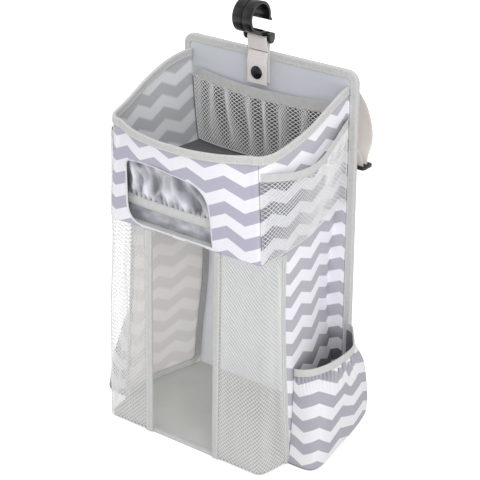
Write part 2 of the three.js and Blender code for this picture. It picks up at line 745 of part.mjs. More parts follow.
function pouchBag() {
  const levels = [0, 0.08, 0.25, 0.45, 0.65, 0.85, 1].map((rise) => {
    const { reach, square } = pouchShape(rise);
    const heights = steps(16).map((s) => lerp(pouchFootAt(s), pouchTopAt(s) - pouch.tape - gap, rise));
    return { path: pouchPath(heights[8], reach, square), heights };
  });
  const seam = offsetPath(levels[0].path, clothThick / 2).slice(0, -1);
  const floorEdges = (lift) => [
    seam.map((_, i) => {
      const y = lerp(flangeBack - clothThick - gap, seam.at(-1)[1], i / (seam.length - 1));
      return point(sideXAt(y, pouchFoot) + 2 * curvedGap + tapeThick, y, pouchFoot + lift);
    }),
    seam.map(([x, y], i) => point(x, y, pouchFootAt(i / 16) + lift)),
  ];
  return join(wall(levels, clothThick), between(floorEdges(gap), floorEdges(gap + clothThick)));
}
addPair("bottle_pouch", pouchBag(), "print");

function pouchElastic() {
  const { reach, square } = pouchShape(1);
  const path = pouchPath(pouchTopAt(0.5) - pouch.tape, reach, square);
  const levels = [-pouch.tape, 0].map((shift) => ({
    path,
    heights: steps(16).map((s) => pouchTopAt(s) + shift),
  }));
  return wall(levels, clothThick);
}
addPair("pouch_elastic", pouchElastic(), "binding", 0.9);

// Centre strap: one webbing sewn to the panel, passed round the hook's bar and snapped to itself

const halfWeb = webThick / 2;
const legTop = foldAxis.z - knuckleRadius - gap;
const flapY = legY - flapStandOff;
const flapHinge = { y: foldAxis.y - 1.4, z: legTop - 0.4 };
const bandAt = (path, half = halfWeb) => {
  const left = offsetPath(path, half);
  return outline([...offsetPath(path, -half), ...left.reverse()]);
};

function snapHole(y0, y1, radius) {
  return turnedAboutY([[0, y0], [radius, y0], [radius, y1], [0, y1]], strapX, snapZ);
}

const stemRadius = 1.8;
const legPath = [[legY, legFoot], [legY, legTop]];
const flapPath = [[flapY, legFoot - 1], [flapY, snapZ + snapCapRadius + 3], [flapY + 0.9, legTop - 7],
  [flapHinge.y, flapHinge.z]];
add("strap_sewn_leg", cut(acrossX(bandAt(legPath), strapWidth, strapX),
  snapHole(legY - 2, legY + 2, stemRadius + gap)), "webbing", 0.9);
add("strap_flap", cut(acrossX(bandAt(flapPath), strapWidth, strapX),
  snapHole(flapY - 2, flapY + 2, stemRadius + gap)), "webbing", 0.9);

// The free loop above the panel, with a rolled knuckle where the webbing bends.
function strapLoop() {
  const inside = barRadius + barPlay;
  const outside = inside + webThick;
  const arc = (radius, from, to, centre, count) => steps(count).map((s) => {
    const turn = lerp(from, to, s);
    return [centre.y + radius * Math.cos(turn), centre.z + radius * Math.sin(turn)];
  });
  const outer = [...arc(outside, 0, Math.PI, barAxis, 10), ...arc(knuckleRadius, Math.PI, 2 * Math.PI, foldAxis, 10)];
  const slotFoot = { y: foldAxis.y, z: foldAxis.z + knuckleRadius + 0.4 };
  const hole = [...arc(inside, 0, Math.PI, barAxis, 10), ...arc(knuckleRadius - 1.4, Math.PI, 2 * Math.PI, slotFoot, 6)];
  return acrossX(outline(outer, [hole]), strapWidth, strapX);
}
add("strap_loop", strapLoop(), "webbing", 0.9);

// Snap fastener: cap and socket on the flap, stud and post on the sewn leg.
const capBack = flapY - halfWeb - gap;
const socketFront = flapY + halfWeb + gap;
const studBack = legY - halfWeb - gap;
const stemEnd = socketFront + 0.7;
add("snap_cap", turnedAboutY([[0, capBack - 2.6], [snapCapRadius * 0.5, capBack - 2.3],
  [snapCapRadius * 0.86, capBack - 1.4], [snapCapRadius, capBack - 0.4], [snapCapRadius, capBack],
  [stemRadius, capBack], [stemRadius, stemEnd], [0, stemEnd]], strapX, snapZ), "plastic", 0.3);
add("snap_socket", turnedAboutY([[snapBore, socketFront], [snapRingRadius, socketFront],
  [snapRingRadius, socketFront + 1.4], [snapBore, socketFront + 1.4], [snapBore, socketFront]],
strapX, snapZ), "plastic", 0.35);
add("snap_stud", turnedAboutY([[0, stemEnd + gap], [snapBore - gap, stemEnd + gap],
  [snapBore - gap, socketFront + 1.4 + gap], [snapRingRadius, socketFront + 1.4 + gap],
  [snapRingRadius, studBack], [stemRadius, studBack], [stemRadius, legY - gap / 2], [0, legY - gap / 2]],
strapX, snapZ), "plastic", 0.35);
add("snap_post", turnedAboutY([[0, legY + gap / 2], [stemRadius, legY + gap / 2],
  [stemRadius, legY + halfWeb + gap], [snapRingRadius, legY + halfWeb + gap],
  [snapRingRadius, legY + halfWeb + gap + 0.6], [0, legY + halfWeb + gap + 0.6]], strapX, snapZ),
"plastic", 0.35);

// Hook: an open ring that clips over a rail, on a neck and stirrup that carry the webbing's bar
function hangingHook() {
  const { from, to } = hookMouth;
  const ringPoints = (radius, start, end) => steps(26).map((s) => {
    const turn = THREE.MathUtils.degToRad(lerp(start, end, s));
    return [hookCentre.y + radius * Math.cos(turn), hookCentre.z + radius * Math.sin(turn)];
  });
  const outer = ringPoints(hookRadius, to, from + 360);
  const inner = ringPoints(hookRadius - hookWall, from + 360, to);
  const ring = acrossX(outline([...outer, ...inner]), hookWidth, strapX);
  const tip = outer[0];
  const lip = acrossX(outline([[tip[0] - hookWall, tip[1] + 0.6], [tip[0] - hookWall - 0.2, tip[1] - 1.6],
    [tip[0] + 1.6, tip[1] - 4], [tip[0] + 3.2, tip[1] - 2.6], [tip[0] + 0.4, tip[1] + 0.8]]), hookWidth, strapX);
  const plateLow = barAxis.z + barRadius + barPlay + webThick + 0.5;
  const foot = [hookCentre.y + hookRadius * Math.cos(THREE.MathUtils.degToRad(from)), hookCentre.z - hookRadius];
  const neck = acrossX(outline([[foot[0] - 6, foot[1] + 2.6], [foot[0] - 4, foot[1] - 0.6],
    [foot[0] + 3, plateLow], [barAxis.y + 5.4, plateLow], [barAxis.y + 5, plateLow + 2.4],
    [barAxis.y, plateLow + 4.2], [foot[0] + 4.5, foot[1] + 1.8], [foot[0] + 2, foot[1] + 4]]), hookWidth, strapX);
  const baseWidth = strapWidth + 2 * (earThick + 0.5);
  const base = acrossX(outline([[barAxis.y - 5.4, plateLow], [barAxis.y + 5.4, plateLow],
    [barAxis.y + 4.6, plateLow + 2.6], [barAxis.y - 4.6, plateLow + 2.6]]), baseWidth, strapX);
  const earShape = outline([[barAxis.y - 5.4, plateLow + 1.5], [barAxis.y - 4.6, barAxis.z],
    [barAxis.y - 1.5, barAxis.z - 4], [barAxis.y + 2.4, barAxis.z - 4], [barAxis.y + 5.6, barAxis.z + 0.5],
    [barAxis.y + 5.4, plateLow + 1.5]]);
  const earPlace = strapWidth / 2 + 0.5 + earThick / 2;
  const ears = [-1, 1].map((side) => acrossX(earShape, earThick, strapX + side * earPlace));
  const bar = new THREE.CylinderGeometry(barRadius, barRadius, 2 * earPlace, 16)
    .rotateZ(Math.PI / 2).translate(strapX, barAxis.y, barAxis.z);
  const groove = new THREE.LatheGeometry([[hookRadius - grooveDepth, -0.8], [hookRadius + 3, -0.8],
    [hookRadius + 3, 0.8], [hookRadius - grooveDepth, 0.8], [hookRadius - grooveDepth, -0.8]]
    .map(([r, y]) => new THREE.Vector2(r, y)), 40)
    .rotateZ(Math.PI / 2).translate(strapX, hookCentre.y, hookCentre.z);
  return cut(join(ring, lip, neck, base, ...ears, bar), groove);
}
add("hanging_hook", hangingHook(), "plastic", 0.25);

// Rear loops: webbing sewn to the panel at both ends, run through a three-bar adjuster

function rearLoop() {
  const back = panelBack + gap + halfWeb;
  const a = adjuster;
  const under = a.z - a.thick / 2 - 1.2;
  const rearSlot = a.y + a.bar / 2 + a.slot / 2;
  const frontSlot = a.y - a.bar / 2 - a.slot / 2;
  const clear = (p) => [Math.max(p.x, back), p.y];
  const spline = (places) => new THREE.SplineCurve(places.map(([y, z]) => new THREE.Vector2(y, z)));
  // Shares of the reach behind the panel and of the fall from the top to the adjuster.
  const falling = [[0, 0.02], [0.02, 0.047], [0.2, 0.12], [0.48, 0.24], [0.77, 0.41], [0.97, 0.62], [1, 0.785]]
    .map(([out, down]) => [back + out * loopReach, lerp(loopTop, a.z, down)]);
  const rear = spline([...falling, [rearSlot + 2.4, a.z + 12.4], [rearSlot, a.z + 3], [rearSlot - 0.4, a.z - 1]]);
  // Shares of the way from the front slot to the panel and of the rise to where the webbing lands.
  const rising = [[0.15, 0.35], [0.51, 0.69], [0.96, 0.93], [1, 1]]
    .map(([inwards, up]) => [lerp(frontSlot, back, inwards), lerp(a.z, loopLanding, up)]);
  const front = spline([[frontSlot + 0.4, a.z - 1], [frontSlot, a.z + 3], ...rising]);
  const path = [[back, loopTop], ...rear.getPoints(26).map(clear), [rearSlot - 1.6, under - 0.8],
    [a.y, under - 1.6], [frontSlot + 1.6, under - 0.8], ...front.getPoints(12).map(clear), [back, loopEnd]];
  return acrossX(bandAt(path), loopWidth, loopX);
}
addPair("rear_loop", rearLoop(), "webbing", 0.9);

function strapAdjuster() {
  const a = adjuster;
  const half = a.width / 2;
  const deep = a.depth / 2;
  const slotAt = (centre) => [[-half + 3.4, centre - a.slot / 2], [half - 3.4, centre - a.slot / 2],
    [half - 3.4, centre + a.slot / 2], [-half + 3.4, centre + a.slot / 2]];
  const shape = outline([[-half + 2, -deep], [half - 2, -deep], [half, -deep + 2], [half, deep - 2],
    [half - 2, deep], [-half + 2, deep], [-half, deep - 2], [-half, -deep + 2]],
  [slotAt(-(a.bar + a.slot) / 2), slotAt((a.bar + a.slot) / 2)]);
  return plate(shape, -a.thick / 2, a.thick / 2).translate(loopX, a.y, a.z);
}
addPair("strap_adjuster", strapAdjuster(), "plastic", 0.35);

export default group;
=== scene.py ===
import math

import bpy
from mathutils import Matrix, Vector, noise


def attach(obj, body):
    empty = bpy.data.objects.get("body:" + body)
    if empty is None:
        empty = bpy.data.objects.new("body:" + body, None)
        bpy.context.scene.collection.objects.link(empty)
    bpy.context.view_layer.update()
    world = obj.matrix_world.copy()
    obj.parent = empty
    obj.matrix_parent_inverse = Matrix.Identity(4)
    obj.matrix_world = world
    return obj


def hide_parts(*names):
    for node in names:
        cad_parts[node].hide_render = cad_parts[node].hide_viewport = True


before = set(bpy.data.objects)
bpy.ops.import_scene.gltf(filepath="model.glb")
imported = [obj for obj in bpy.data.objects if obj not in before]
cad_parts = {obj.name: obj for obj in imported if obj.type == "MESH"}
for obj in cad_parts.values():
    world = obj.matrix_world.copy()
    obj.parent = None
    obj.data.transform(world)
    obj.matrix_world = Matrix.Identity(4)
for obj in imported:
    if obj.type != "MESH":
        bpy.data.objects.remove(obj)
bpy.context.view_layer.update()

# Stiffening boards: plain fibre board in the back panel and in both floors. Each is slipped
# between two cloths before the edges are bound, so only its cut edge could ever be seen.


class Link:
    """A shader socket that takes part in sums as a number does."""

    def __init__(self, nodes, socket):
        self.nodes = nodes
        self.socket = socket

    def math(self, operation, *others):
        return self.nodes.node("Math", {"operation": operation}, self, *others)

    def __add__(self, other):
        return self.math("ADD", other)

    def __sub__(self, other):
        return self.math("SUBTRACT", other)

    def __rsub__(self, other):
        return self.nodes.node("Math", {"operation": "SUBTRACT"}, other, self)

    def __mul__(self, other):
        return self.math("MULTIPLY", other)

    def __truediv__(self, other):
        return self.math("DIVIDE", other)

    __radd__, __rmul__ = __add__, __mul__


class Nodes:
    """A node tree, to which any node is added in one call."""

    def __init__(self, tree):
        self.tree = tree

    def node(self, kind, settings, *values, output=0, **named):
        made = self.tree.nodes.new("ShaderNode" + kind)
        for setting, value in settings.items():
            setattr(made, setting, value)
        for socket, value in zip(made.inputs, values):
            self.plug(socket, value)
        for label, value in named.items():
            self.plug(made.inputs[label], value)
        return Link(self, made.outputs[output])

    def plug(self, socket, value):
        if isinstance(value, Link):
            self.tree.links.new(value.socket, socket)
        elif value is not None:
            socket.default_value = value

    def seen_by(self, *rays):
        """1 where the ray is one of these kinds, as the Light Path node names them."""
        chosen, *others = (self.node("LightPath", {}, output=ray) for ray in rays)
        for other in others:
            chosen = chosen.math("MAXIMUM", other)
        return chosen


class Finish(Nodes):
    """One material: its constant gloss, and the nodes that vary over the surface."""

    def __init__(self, name, **constants):
        self.material = bpy.data.materials.new(name)
        self.material.use_nodes = True
        super().__init__(self.material.node_tree)
        self.shader = self.tree.nodes["Principled BSDF"]
        for label, value in constants.items():
            self.shader.inputs[label.replace("_", " ")].default_value = value

    def place(self):
        """The place on the object, in metres."""
        return self.node("TexCoord", {}, output="Object")

    def parts_of(self, vector):
        apart = self.node("SeparateXYZ", {}, vector).socket.node
        return [Link(self, output) for output in apart.outputs]

    def along_cloth(self):
        """The two distances along the flat cloth, in metres."""
        return self.parts_of(self.node("UVMap", {"uv_map": "cloth"}))[:2]

    def mottle(self, size, detail=2.0):
        """A soft noise from 0 to 1 whose patches are about size metres across."""
        return self.node("TexNoise", {}, Vector=self.place(), Scale=1 / size, Detail=detail)

    def ridges(self, distance, pitch):
        """Rounded ridges from -1 to 1, one every pitch metres."""
        return (distance * (2 * math.pi / pitch)).math("SINE")

    def mix(self, factor, low, high):
        """A colour between two; a Mix node's colour sockets come after its number and vector ones."""
        unused = [None] * 5
        return self.node("Mix", {"data_type": "RGBA"}, factor, *unused, low, high, output=2)

    def vary(self, **sockets):
        for label, value in sockets.items():
            self.plug(self.shader.inputs[label.replace("_", " ")], value)

    def shade(self, size, low, high, detail=2.0):
        """A colour that drifts between two shades in patches about size metres across."""
        self.vary(Base_Color=self.mix(self.mottle(size, detail), low, high))

    def relief(self, height, depth):
        """Bump whose height of 1 stands for depth metres."""
        self.vary(Normal=self.node("Bump", {}, Height=height, Distance=depth))


def seen(red, green, blue):
    """A colour as the eye sees it, 0 to 255, as the light that it stands for."""
    channels = [c / 255 for c in (red, green, blue)]
    return (*(c / 12.92 if c < 0.04045 else ((c + 0.055) / 1.055) ** 2.4 for c in channels), 1.0)


board = Finish("fibre_board", Roughness=0.85)
fibres = board.mottle(0.0025, 6.0)
board.vary(Base_Color=board.mix(fibres, seen(178, 170, 154), seen(206, 199, 186)))
board.relief(fibres, 0.0003)
for node in ("back_board", "floor_board", "bin_floor_board"):
    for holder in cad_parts[node].material_slots:
        holder.material = board.material

# Back lining: one smooth, slightly glossy blue-grey cloth over the front of the back board.
# It shows above the net pocket and, at the back of the stacker, behind the opening. Behind
# the net pocket its colour is painted near black, as painted shade, and in the stacker it is
# painted paler, as painted light.

MM = 0.001
HANDS = (("right", 1), ("left", -1))
gap = 0.3
lining_thick, tape_thick = 0.8, 0.9
panel_front, panel_half, panel_top, panel_corner = 80.0, 122.0, 440.0, 14.0


def lerp(low, high, share):
    return low + (high - low) * share


def ease(value, low=0.0, high=1.0):
    share = min(max((value - low) / (high - low), 0.0), 1.0)
    return share * share * (3 - 2 * share)


def rumple(a, b, size, seed=0.0):
    """A soft, even unevenness from about -1 to 1, with swells about size millimetres long."""
    return 1.6 * noise.noise(Vector((a / size, b / size, seed)))


def spread(rows, cols, place):
    """Rows of points from place(across, up), whose two shares run from 0 to 1."""
    return [[place(c / cols, r / rows) for c in range(cols + 1)] for r in range(rows + 1)]


def unrolled(rows):
    """Flat places of an upright cloth: the distance along each row, and the height."""
    flats = []
    for row in rows:
        along, line = 0.0, []
        for before, point in zip([row[0], *row], row):
            along += math.dist(before, point)
            line.append((along, point[2]))
        flats.append(line)
    return flats


def piece_from(name, points, faces, flats=None):
    """A new object from points in millimetres, with the flat place of each point as its UV."""
    mesh = bpy.data.meshes.new(name)
    mesh.from_pydata([[c * MM for c in point] for point in points], [], faces)
    if flats:
        layer = mesh.uv_layers.new(name="cloth")
        layer.data.foreach_set("uv", [c * MM for face in faces for corner in face for c in flats[corner]])
    piece = bpy.data.objects.new(name, mesh)
    bpy.context.scene.collection.objects.link(piece)
    return piece


def sheet_from(name, rows, flats=None, turned=False, left_out=lambda r, c: False):
    """A cloth from rows of points, facing the side from which they run right and up."""
    cols = len(rows[0])
    faces = []
    for r in range(len(rows) - 1):
        for c in range(cols - 1):
            if not left_out(r, c):
                a, b = r * cols + c, (r + 1) * cols + c
                faces.append((a, b, b + 1, a + 1) if turned else (a, a + 1, b + 1, b))
    flats = flats or unrolled(rows)
    return piece_from(name, [p for row in rows for p in row], faces, [f for row in flats for f in row])


def pick(piece):
    """Makes a piece the only one that an operator acts on."""
    bpy.ops.object.select_all(action="DESELECT")
    bpy.context.view_layer.objects.active = piece
    piece.select_set(True)


def change(piece, kind, **settings):
    """Adds one modifier and applies it."""
    pick(piece)
    modifier = piece.modifiers.new(kind.lower(), kind)
    for setting, value in settings.items():
        setattr(modifier, setting, value)
    bpy.ops.object.modifier_apply(modifier=modifier.name)
    return piece


def thicken(piece, thick, outwards=False):
    """Gives a sheet its thickness; its inner side takes the piece's second material."""
    return change(piece, "SOLIDIFY", thickness=thick * MM, offset=1.0 if outwards else -1.0,
                  material_offset=1 if len(piece.data.materials) > 1 else 0)


def dress(piece, *finishes):
    for finish in finishes:
        piece.data.materials.append(finish.material)
    return piece


def fasten(piece, slot, *nodes, body="root", angle=50):
    """Smooths a finished piece, sets it on its body and hides the model's parts that it stands for."""
    pick(piece)
    bpy.ops.object.shade_smooth_by_angle(angle=math.radians(angle))
    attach(piece, body)
    if nodes:
        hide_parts(*nodes)
    return piece


def marked(piece, label, values):
    """Keeps a number for each point of a piece, for its material to read."""
    layer = piece.data.attributes.new(label, "FLOAT", "POINT")
    layer.data.foreach_set("value", values)
    return piece


def woven(finish, pitch, depth, slub):
    """Plain weave relief on the flat cloth, threads crossing every pitch metres."""
    along, up = finish.along_cloth()
    weave = finish.ridges(along, pitch) + finish.ridges(up, pitch)
    finish.relief(weave * 0.5 + finish.mottle(0.012) * slub, depth)


def plain_cloth(name, low, high, *, pitch=0.0007, depth=0.00005, **constants):
    """A plain woven cloth whose colour drifts between two shades."""
    finish = Finish(name, **constants)
    finish.shade(0.03, low, high)
    woven(finish, pitch, depth, 1.5)
    return finish


def panel_half_at(z, inset):
    """Half the width of the back panel at a height, less an inset, with its round top corners."""
    above = z - (panel_top - panel_corner)
    if above <= 0:
        return panel_half - inset
    return panel_half - panel_corner + math.sqrt(max((panel_corner - inset) ** 2 - above ** 2, 0))


def panel_sheet(name, y, swell, turned):
    inset = tape_thick + gap

    def place(across, up):
        z = lerp(inset, panel_top - inset, up ** 0.8)
        x = lerp(-1, 1, across) * panel_half_at(z, inset)
        return x, y - swell * abs(rumple(x, z, 60)), z

    return sheet_from(name, spread(150, 80, place), turned=turned)


band_bottom = 262.0
net_band_low, net_band_high = 306.0, 388.0
lining = Finish("smooth_lining", Roughness=0.5, Sheen_Weight=0.25)
_, _, lining_height = lining.parts_of(lining.place())
# Painted shade: a band of heights behind the net pocket where the lining is painted near black.
shade_behind_net = (lining_height.math("GREATER_THAN", net_band_low * MM)
              * lining_height.math("LESS_THAN", net_band_high * MM))
upper_lining = lining.mix(lining.mottle(0.05), seen(198, 201, 208), seen(210, 213, 220))
# Painted light: below the bin's lower edge, in the stacker, the lining is painted paler.
stacker_painted_light = lining.mix(lining.mottle(0.05), seen(234, 236, 240), seen(244, 246, 250))
outer_lining = lining.mix(lining_height.math("LESS_THAN", band_bottom * MM), upper_lining, stacker_painted_light)
lining.vary(Base_Color=lining.mix(shade_behind_net, outer_lining, seen(92, 92, 95)))
woven(lining, 0.0006, 0.00003, 2.0)
back_lining = dress(panel_sheet("back_lining_cloth", panel_front, 0.5, False), lining)
fasten(thicken(back_lining, lining_thick), "lining", "back_lining")

# Back cover: the same printed cloth as the walls, over the back of the board. Rows of white
# and lavender grey zigzags run across it, printed on a fine plain weave.

white_ink = seen(240, 239, 246)
grey_ink = seen(172, 170, 187)
zigzag = {"period": 0.0463, "rise": 0.0108, "repeat": 0.0298}
panel_back = 84.2


def printed(name, white, grey, shift=(0.0, 0.0), blur=0.0004, drawn_in=1.0, bin_shade_inks=None):
    """Cloth printed with zigzag rows; shift moves the print along and up the cloth.

    The cloth is painted darker, in its grey rows most, where its points carry painted shade:
    behind a side pocket's net, on the wall inside a bottle pouch and in a pouch's pleats. The last
    argument, when given, holds the two colours above the bin's lower edge, painted darker there
    as the bin's shade, and the points' painted shade is then left out.
    """
    finish = Finish(name, Roughness=0.8, Sheen_Weight=0.15)
    if bin_shade_inks:
        # Painted shade: above the bin's lower edge the two colours give way to darker ones.
        above = finish.parts_of(finish.place())[2].math("GREATER_THAN", band_bottom * MM)
        white, grey = finish.mix(above, white, bin_shade_inks[0]), finish.mix(above, grey, bin_shade_inks[1])
    along, up = finish.along_cloth()
    wave = ((along - shift[0]) / (zigzag["period"] * drawn_in)).math("FRACT")
    tooth = (wave - 0.5).math("ABSOLUTE") * 2
    repeat = zigzag["repeat"] * drawn_in
    height = ((up - shift[1] + tooth * (zigzag["rise"] * drawn_in)) / repeat).math("FRACT")
    half_row = 0.25
    inside = (half_row - (height - 0.5).math("ABSOLUTE")) * (repeat / blur) + 0.5
    ink = finish.node("Clamp", {}, inside)
    cloudy = finish.mottle(0.03) * 0.5 + finish.mottle(0.004) * 0.5
    shade = finish.mix(ink, white, grey)
    worn_and_shaded = finish.mix(cloudy * 0.16, shade, seen(205, 204, 210))
    if not bin_shade_inks:
        # Painted shade: marked points turn darker, towards near black, most in the grey rows.
        painted_shade = finish.node("Attribute", {"attribute_name": "painted_shade"}, output="Fac")
        worn_and_shaded = finish.mix(painted_shade * (ink * 0.36 + 0.16), worn_and_shaded, seen(60, 58, 64))
    finish.vary(Base_Color=worn_and_shaded)
    woven(finish, 0.0007, 0.00005, 1.5)
    return finish


back_print = printed("printed_cloth_back", white_ink, grey_ink)
back_cover = dress(panel_sheet("back_cover_cloth", panel_back, -0.25, True), back_print)
fasten(thicken(back_cover, lining_thick), "printed_cloth", "back_cover")

# Panel binding: one ribbed tape folded over the panel's edge at the sides and the top, with a
# row of stitches through all the layers near its inner edge.

binding_front, binding_back, binding_width, binding_seam = 78.8, 85.4, 9.0, 7.4


def worked(piece, operator, **settings):
    """Runs one mesh operator on the whole of a piece."""
    pick(piece)
    bpy.ops.object.mode_set(mode="EDIT")
    bpy.ops.mesh.select_all(action="SELECT")
    operator(**settings)
    bpy.ops.object.mode_set(mode="OBJECT")
    return piece


def swept(name, stations, profile, ring=False):
    """A closed solid whose profile is carried along stations of a point and its two axes."""
    stations = [*stations, stations[0]] if ring else stations
    count = len(profile)
    points, flats = [], []
    along = 0.0
    around = [0.0]
    for a, b in zip(profile, profile[1:]):
        around.append(around[-1] + math.dist(a, b))
    for index, (at, out, up) in enumerate(stations):
        along += (Vector(at) - Vector(stations[max(index - 1, 0)][0])).length
        points += [Vector(at) + Vector(out) * a + Vector(up) * b for a, b in profile]
        flats += [(along, height) for height in around]
    faces = []
    for row in range(len(stations) - 1):
        for i in range(count):
            j = (i + 1) % count
            low, high = row * count, (row + 1) * count
            faces.append((low + i, low + j, high + j, high + i))
    last = (len(stations) - 1) * count
    if not ring:
        faces += [tuple(range(count))[::-1], tuple(range(last, last + count))]
    made = piece_from(name, points, faces, flats)
    if ring:
        change(made, "WELD", merge_threshold=0.01 * MM)
    return worked(made, bpy.ops.mesh.normals_make_consistent, inside=False)


def bend(centre, radius, start, end, count):
    """Points of a round bend in a profile, with its angles in degrees."""
    turns = [math.radians(lerp(start, end, i / count)) for i in range(count + 1)]
    return [(centre[0] + radius * math.cos(t), centre[1] + radius * math.sin(t)) for t in turns]


def stitched(name, lines):
    """Rows of sewing thread: each stitch rises from the cloth, runs flat and dips in again."""
    pitch, long, thread, sides = 3.4, 2.4, 0.5, 5
    points, faces = [], []
    shape = ((0.0, -0.7), (0.2, 0.35), (0.8, 0.35), (1.0, -0.7))
    for line in lines:
        done, start = 0.0, pitch / 2
        for (a, out), (b, _) in zip(line, line[1:]):
            a, b, out = Vector(a), Vector(b), Vector(out)
            length = (b - a).length
            while done + length >= start and length > 0:
                first = a + (b - a) * ((start - done) / length)
                along = (b - a).normalized()
                across = along.cross(out)
                base = len(points)
                for share, lift in shape:
                    centre = first + along * (long * share) + out * (thread * lift)
                    for turn in range(sides):
                        angle = 2 * math.pi * turn / sides
                        around = across * math.cos(angle) + out * math.sin(angle)
                        points.append(centre + around * thread / 2)
                for ring in range(len(shape) - 1):
                    for turn in range(sides):
                        low, high = base + ring * sides, base + (ring + 1) * sides
                        after = (turn + 1) % sides
                        faces.append((low + turn, high + turn, high + after, low + after))
                faces.append(tuple(base + turn for turn in range(sides)))
                end = base + (len(shape) - 1) * sides
                faces.append(tuple(end + turn for turn in reversed(range(sides))))
                start += pitch
            done += length
    return fasten(dress(piece_from(name, points, faces), thread_finish), "binding", angle=80)


thread_finish = Finish("sewing_thread", Roughness=0.6)
thread_finish.shade(0.0008, seen(220, 220, 219), seen(242, 242, 241))

tape = Finish("binding_tape", Roughness=0.85, Sheen_Weight=0.2)
tape_along, tape_across = tape.along_cloth()
rib = tape.ridges(tape_along, 0.0011)
tape_shade = tape.mottle(0.003, 4.0) * 0.7 + rib * 0.3
tape.vary(Base_Color=tape.mix(tape_shade, seen(182, 182, 181), seen(220, 220, 219)))
tape.relief(rib * 0.6 + tape.ridges(tape_across, 0.0009) * 0.25 + tape.mottle(0.0015) * 0.8, 0.00014)


def panel_edge(inset):
    """The panel's edge from its lower right corner over the top, with the way out at each place."""
    spacing = 4.0
    side, top, radius = panel_half - inset, panel_top - inset, panel_corner - inset
    tall = int((top - radius) / spacing)
    edge = [((side, lerp(0.0, top - radius, i / tall)), (1.0, 0.0)) for i in range(tall)]
    for way, centre in ((1, side - radius), (-1, -side + radius)):
        turns = [math.radians(lerp(0, 90, i / 8)) for i in range(9)]
        turns = turns if way > 0 else turns[::-1]
        edge += [((centre + way * radius * math.cos(t), top - radius + radius * math.sin(t)),
                  (way * math.cos(t), math.sin(t))) for t in turns]
        if way > 0:
            wide = int(2 * (side - radius) / spacing)
            edge += [((lerp(side - radius, radius - side, i / wide), top), (0.0, 1.0))
                     for i in range(1, wide)]
    edge += [((-side, lerp(top - radius, 0.0, i / tall)), (-1.0, 0.0)) for i in range(1, tall + 1)]
    return edge


fold_radius = 1.6
binding_profile = (
    [(-binding_width, binding_front)]
    + bend((-fold_radius, binding_front + fold_radius), fold_radius, -90, 0, 4)
    + bend((-fold_radius, binding_back - fold_radius), fold_radius, 0, 90, 4)
    + [(-binding_width, binding_back), (-binding_width, binding_back - tape_thick)]
    + bend((-fold_radius, binding_back - fold_radius), fold_radius - tape_thick, 90, 0, 3)
    + bend((-fold_radius, binding_front + fold_radius), fold_radius - tape_thick, 0, -90, 3)
    + [(-binding_width, binding_front + tape_thick)]
)
edge_stations = [((x, 0, z), (out_x, 0, out_z), (0, 1, 0)) for (x, z), (out_x, out_z) in panel_edge(0)]
back_binding = dress(swept("back_binding_tape", edge_stations, binding_profile), tape)
fasten(back_binding, "binding", "back_binding")
seam_line = [(x, z) for (x, z), _ in panel_edge(binding_seam)]
stitched("back_binding_stitches", [
    [((x, binding_front, z), (0, -1, 0)) for x, z in seam_line],
    [((x, binding_back, z), (0, 1, 0)) for x, z in seam_line],
])

# Side walls: one printed cloth each, sewn to the back panel by a flange and bound at the top.
# Below the bin each stops short of the corner, where the front net takes over.

cloth_thick = 1.4
foot_level, rim_level = 1.2, 370.0
rim_rear, rim_corner, rim_middle = 421.5, 384.0, 380.0
net_wrap, band_seam = 42.0, 2.4
flange_y = panel_front - gap - cloth_thick
flange_x = panel_half - binding_width - 0.5
wall_slack = 1.4
front_foot_y, front_rim_y = -84.0, -74.0
corner_foot_x, corner_rim_x = 114.0, 106.5


def front_at(z):
    return lerp(front_foot_y, front_rim_y, z / rim_level)


def corner_x_at(z):
    return lerp(corner_foot_x, corner_rim_x, z / rim_level)


def corner_reach_at(z):
    """How far the front corners are rounded: a little below, and more towards the bin's rim."""
    low_reach, rim_reach = 9.0, 17.0
    return lerp(low_reach, rim_reach, ease(z, band_bottom, rim_middle))


def curved(start, turn, end, share):
    """A number on its way from start to end, drawn towards turn between them."""
    return (1 - share) ** 2 * start + 2 * share * (1 - share) * turn + share ** 2 * end


def rear_x_at(z):
    foot, waist, top = 104.7, 90.0, 111.0
    waist_z, top_z = 165.0, 400.0
    if z < waist_z:
        return lerp(foot, waist, ease(z, 0, waist_z))
    return lerp(waist, top, ease(z, waist_z, top_z))


def swell_at(z):
    """How far a side wall swells out half-way along it: least at the bin's lower edge."""
    foot, waist, rim = 12.0, 3.0, 10.0
    if z < band_bottom:
        return lerp(foot, waist, z / band_bottom)
    return lerp(waist, rim, (z - band_bottom) / (rim_rear - band_bottom))


def side_x_at(y, z, slack=wall_slack):
    """How far out a side wall stands, with a little slack in the cloth between its seams."""
    forward = (panel_front - y) / (panel_front - front_at(z))
    arch = math.sin(math.pi * min(max(forward, 0.0), 1.0))
    loose = slack * arch * max(0.5 + 0.7 * rumple(y, z, 42), 0.0)
    return lerp(rear_x_at(z), corner_x_at(z), forward) + swell_at(z) * arch + loose


def rim_at(x, y):
    forward = (panel_front - y) / (panel_front - rim_front)
    if forward < 0.96:
        return lerp(rim_corner, rim_rear, (1 + math.cos(math.pi * forward)) / 2)
    return lerp(rim_middle, rim_corner, min(abs(x) / corner_rim_x, 1.0) ** 2)


def outer_half_at(y, z, slack=0.0):
    """Half the width outside the walls at a place along Y, with the round front corners."""
    front, reach = front_at(z), corner_reach_at(z)
    if y >= front + reach:
        return side_x_at(y, z, slack)
    t = 1 - math.sqrt(max(y - front, 0.0) / reach)
    return curved(side_x_at(front + reach, z, slack), corner_x_at(z), corner_x_at(z) - reach, t)


def side_place(share, z):
    """Plan place on a side wall: -1 to 0 on the flange, then 0 to 2 forward to the band's seam."""
    if share < 0:
        return lerp(side_x_at(flange_y, z), flange_x, -share), flange_y
    net_edge = front_at(z) + net_wrap + gap
    seam = front_at(z) + band_seam + gap
    y = lerp(flange_y, net_edge, share) if share <= 1 else lerp(net_edge, seam, share - 1)
    return outer_half_at(y, z, wall_slack), y


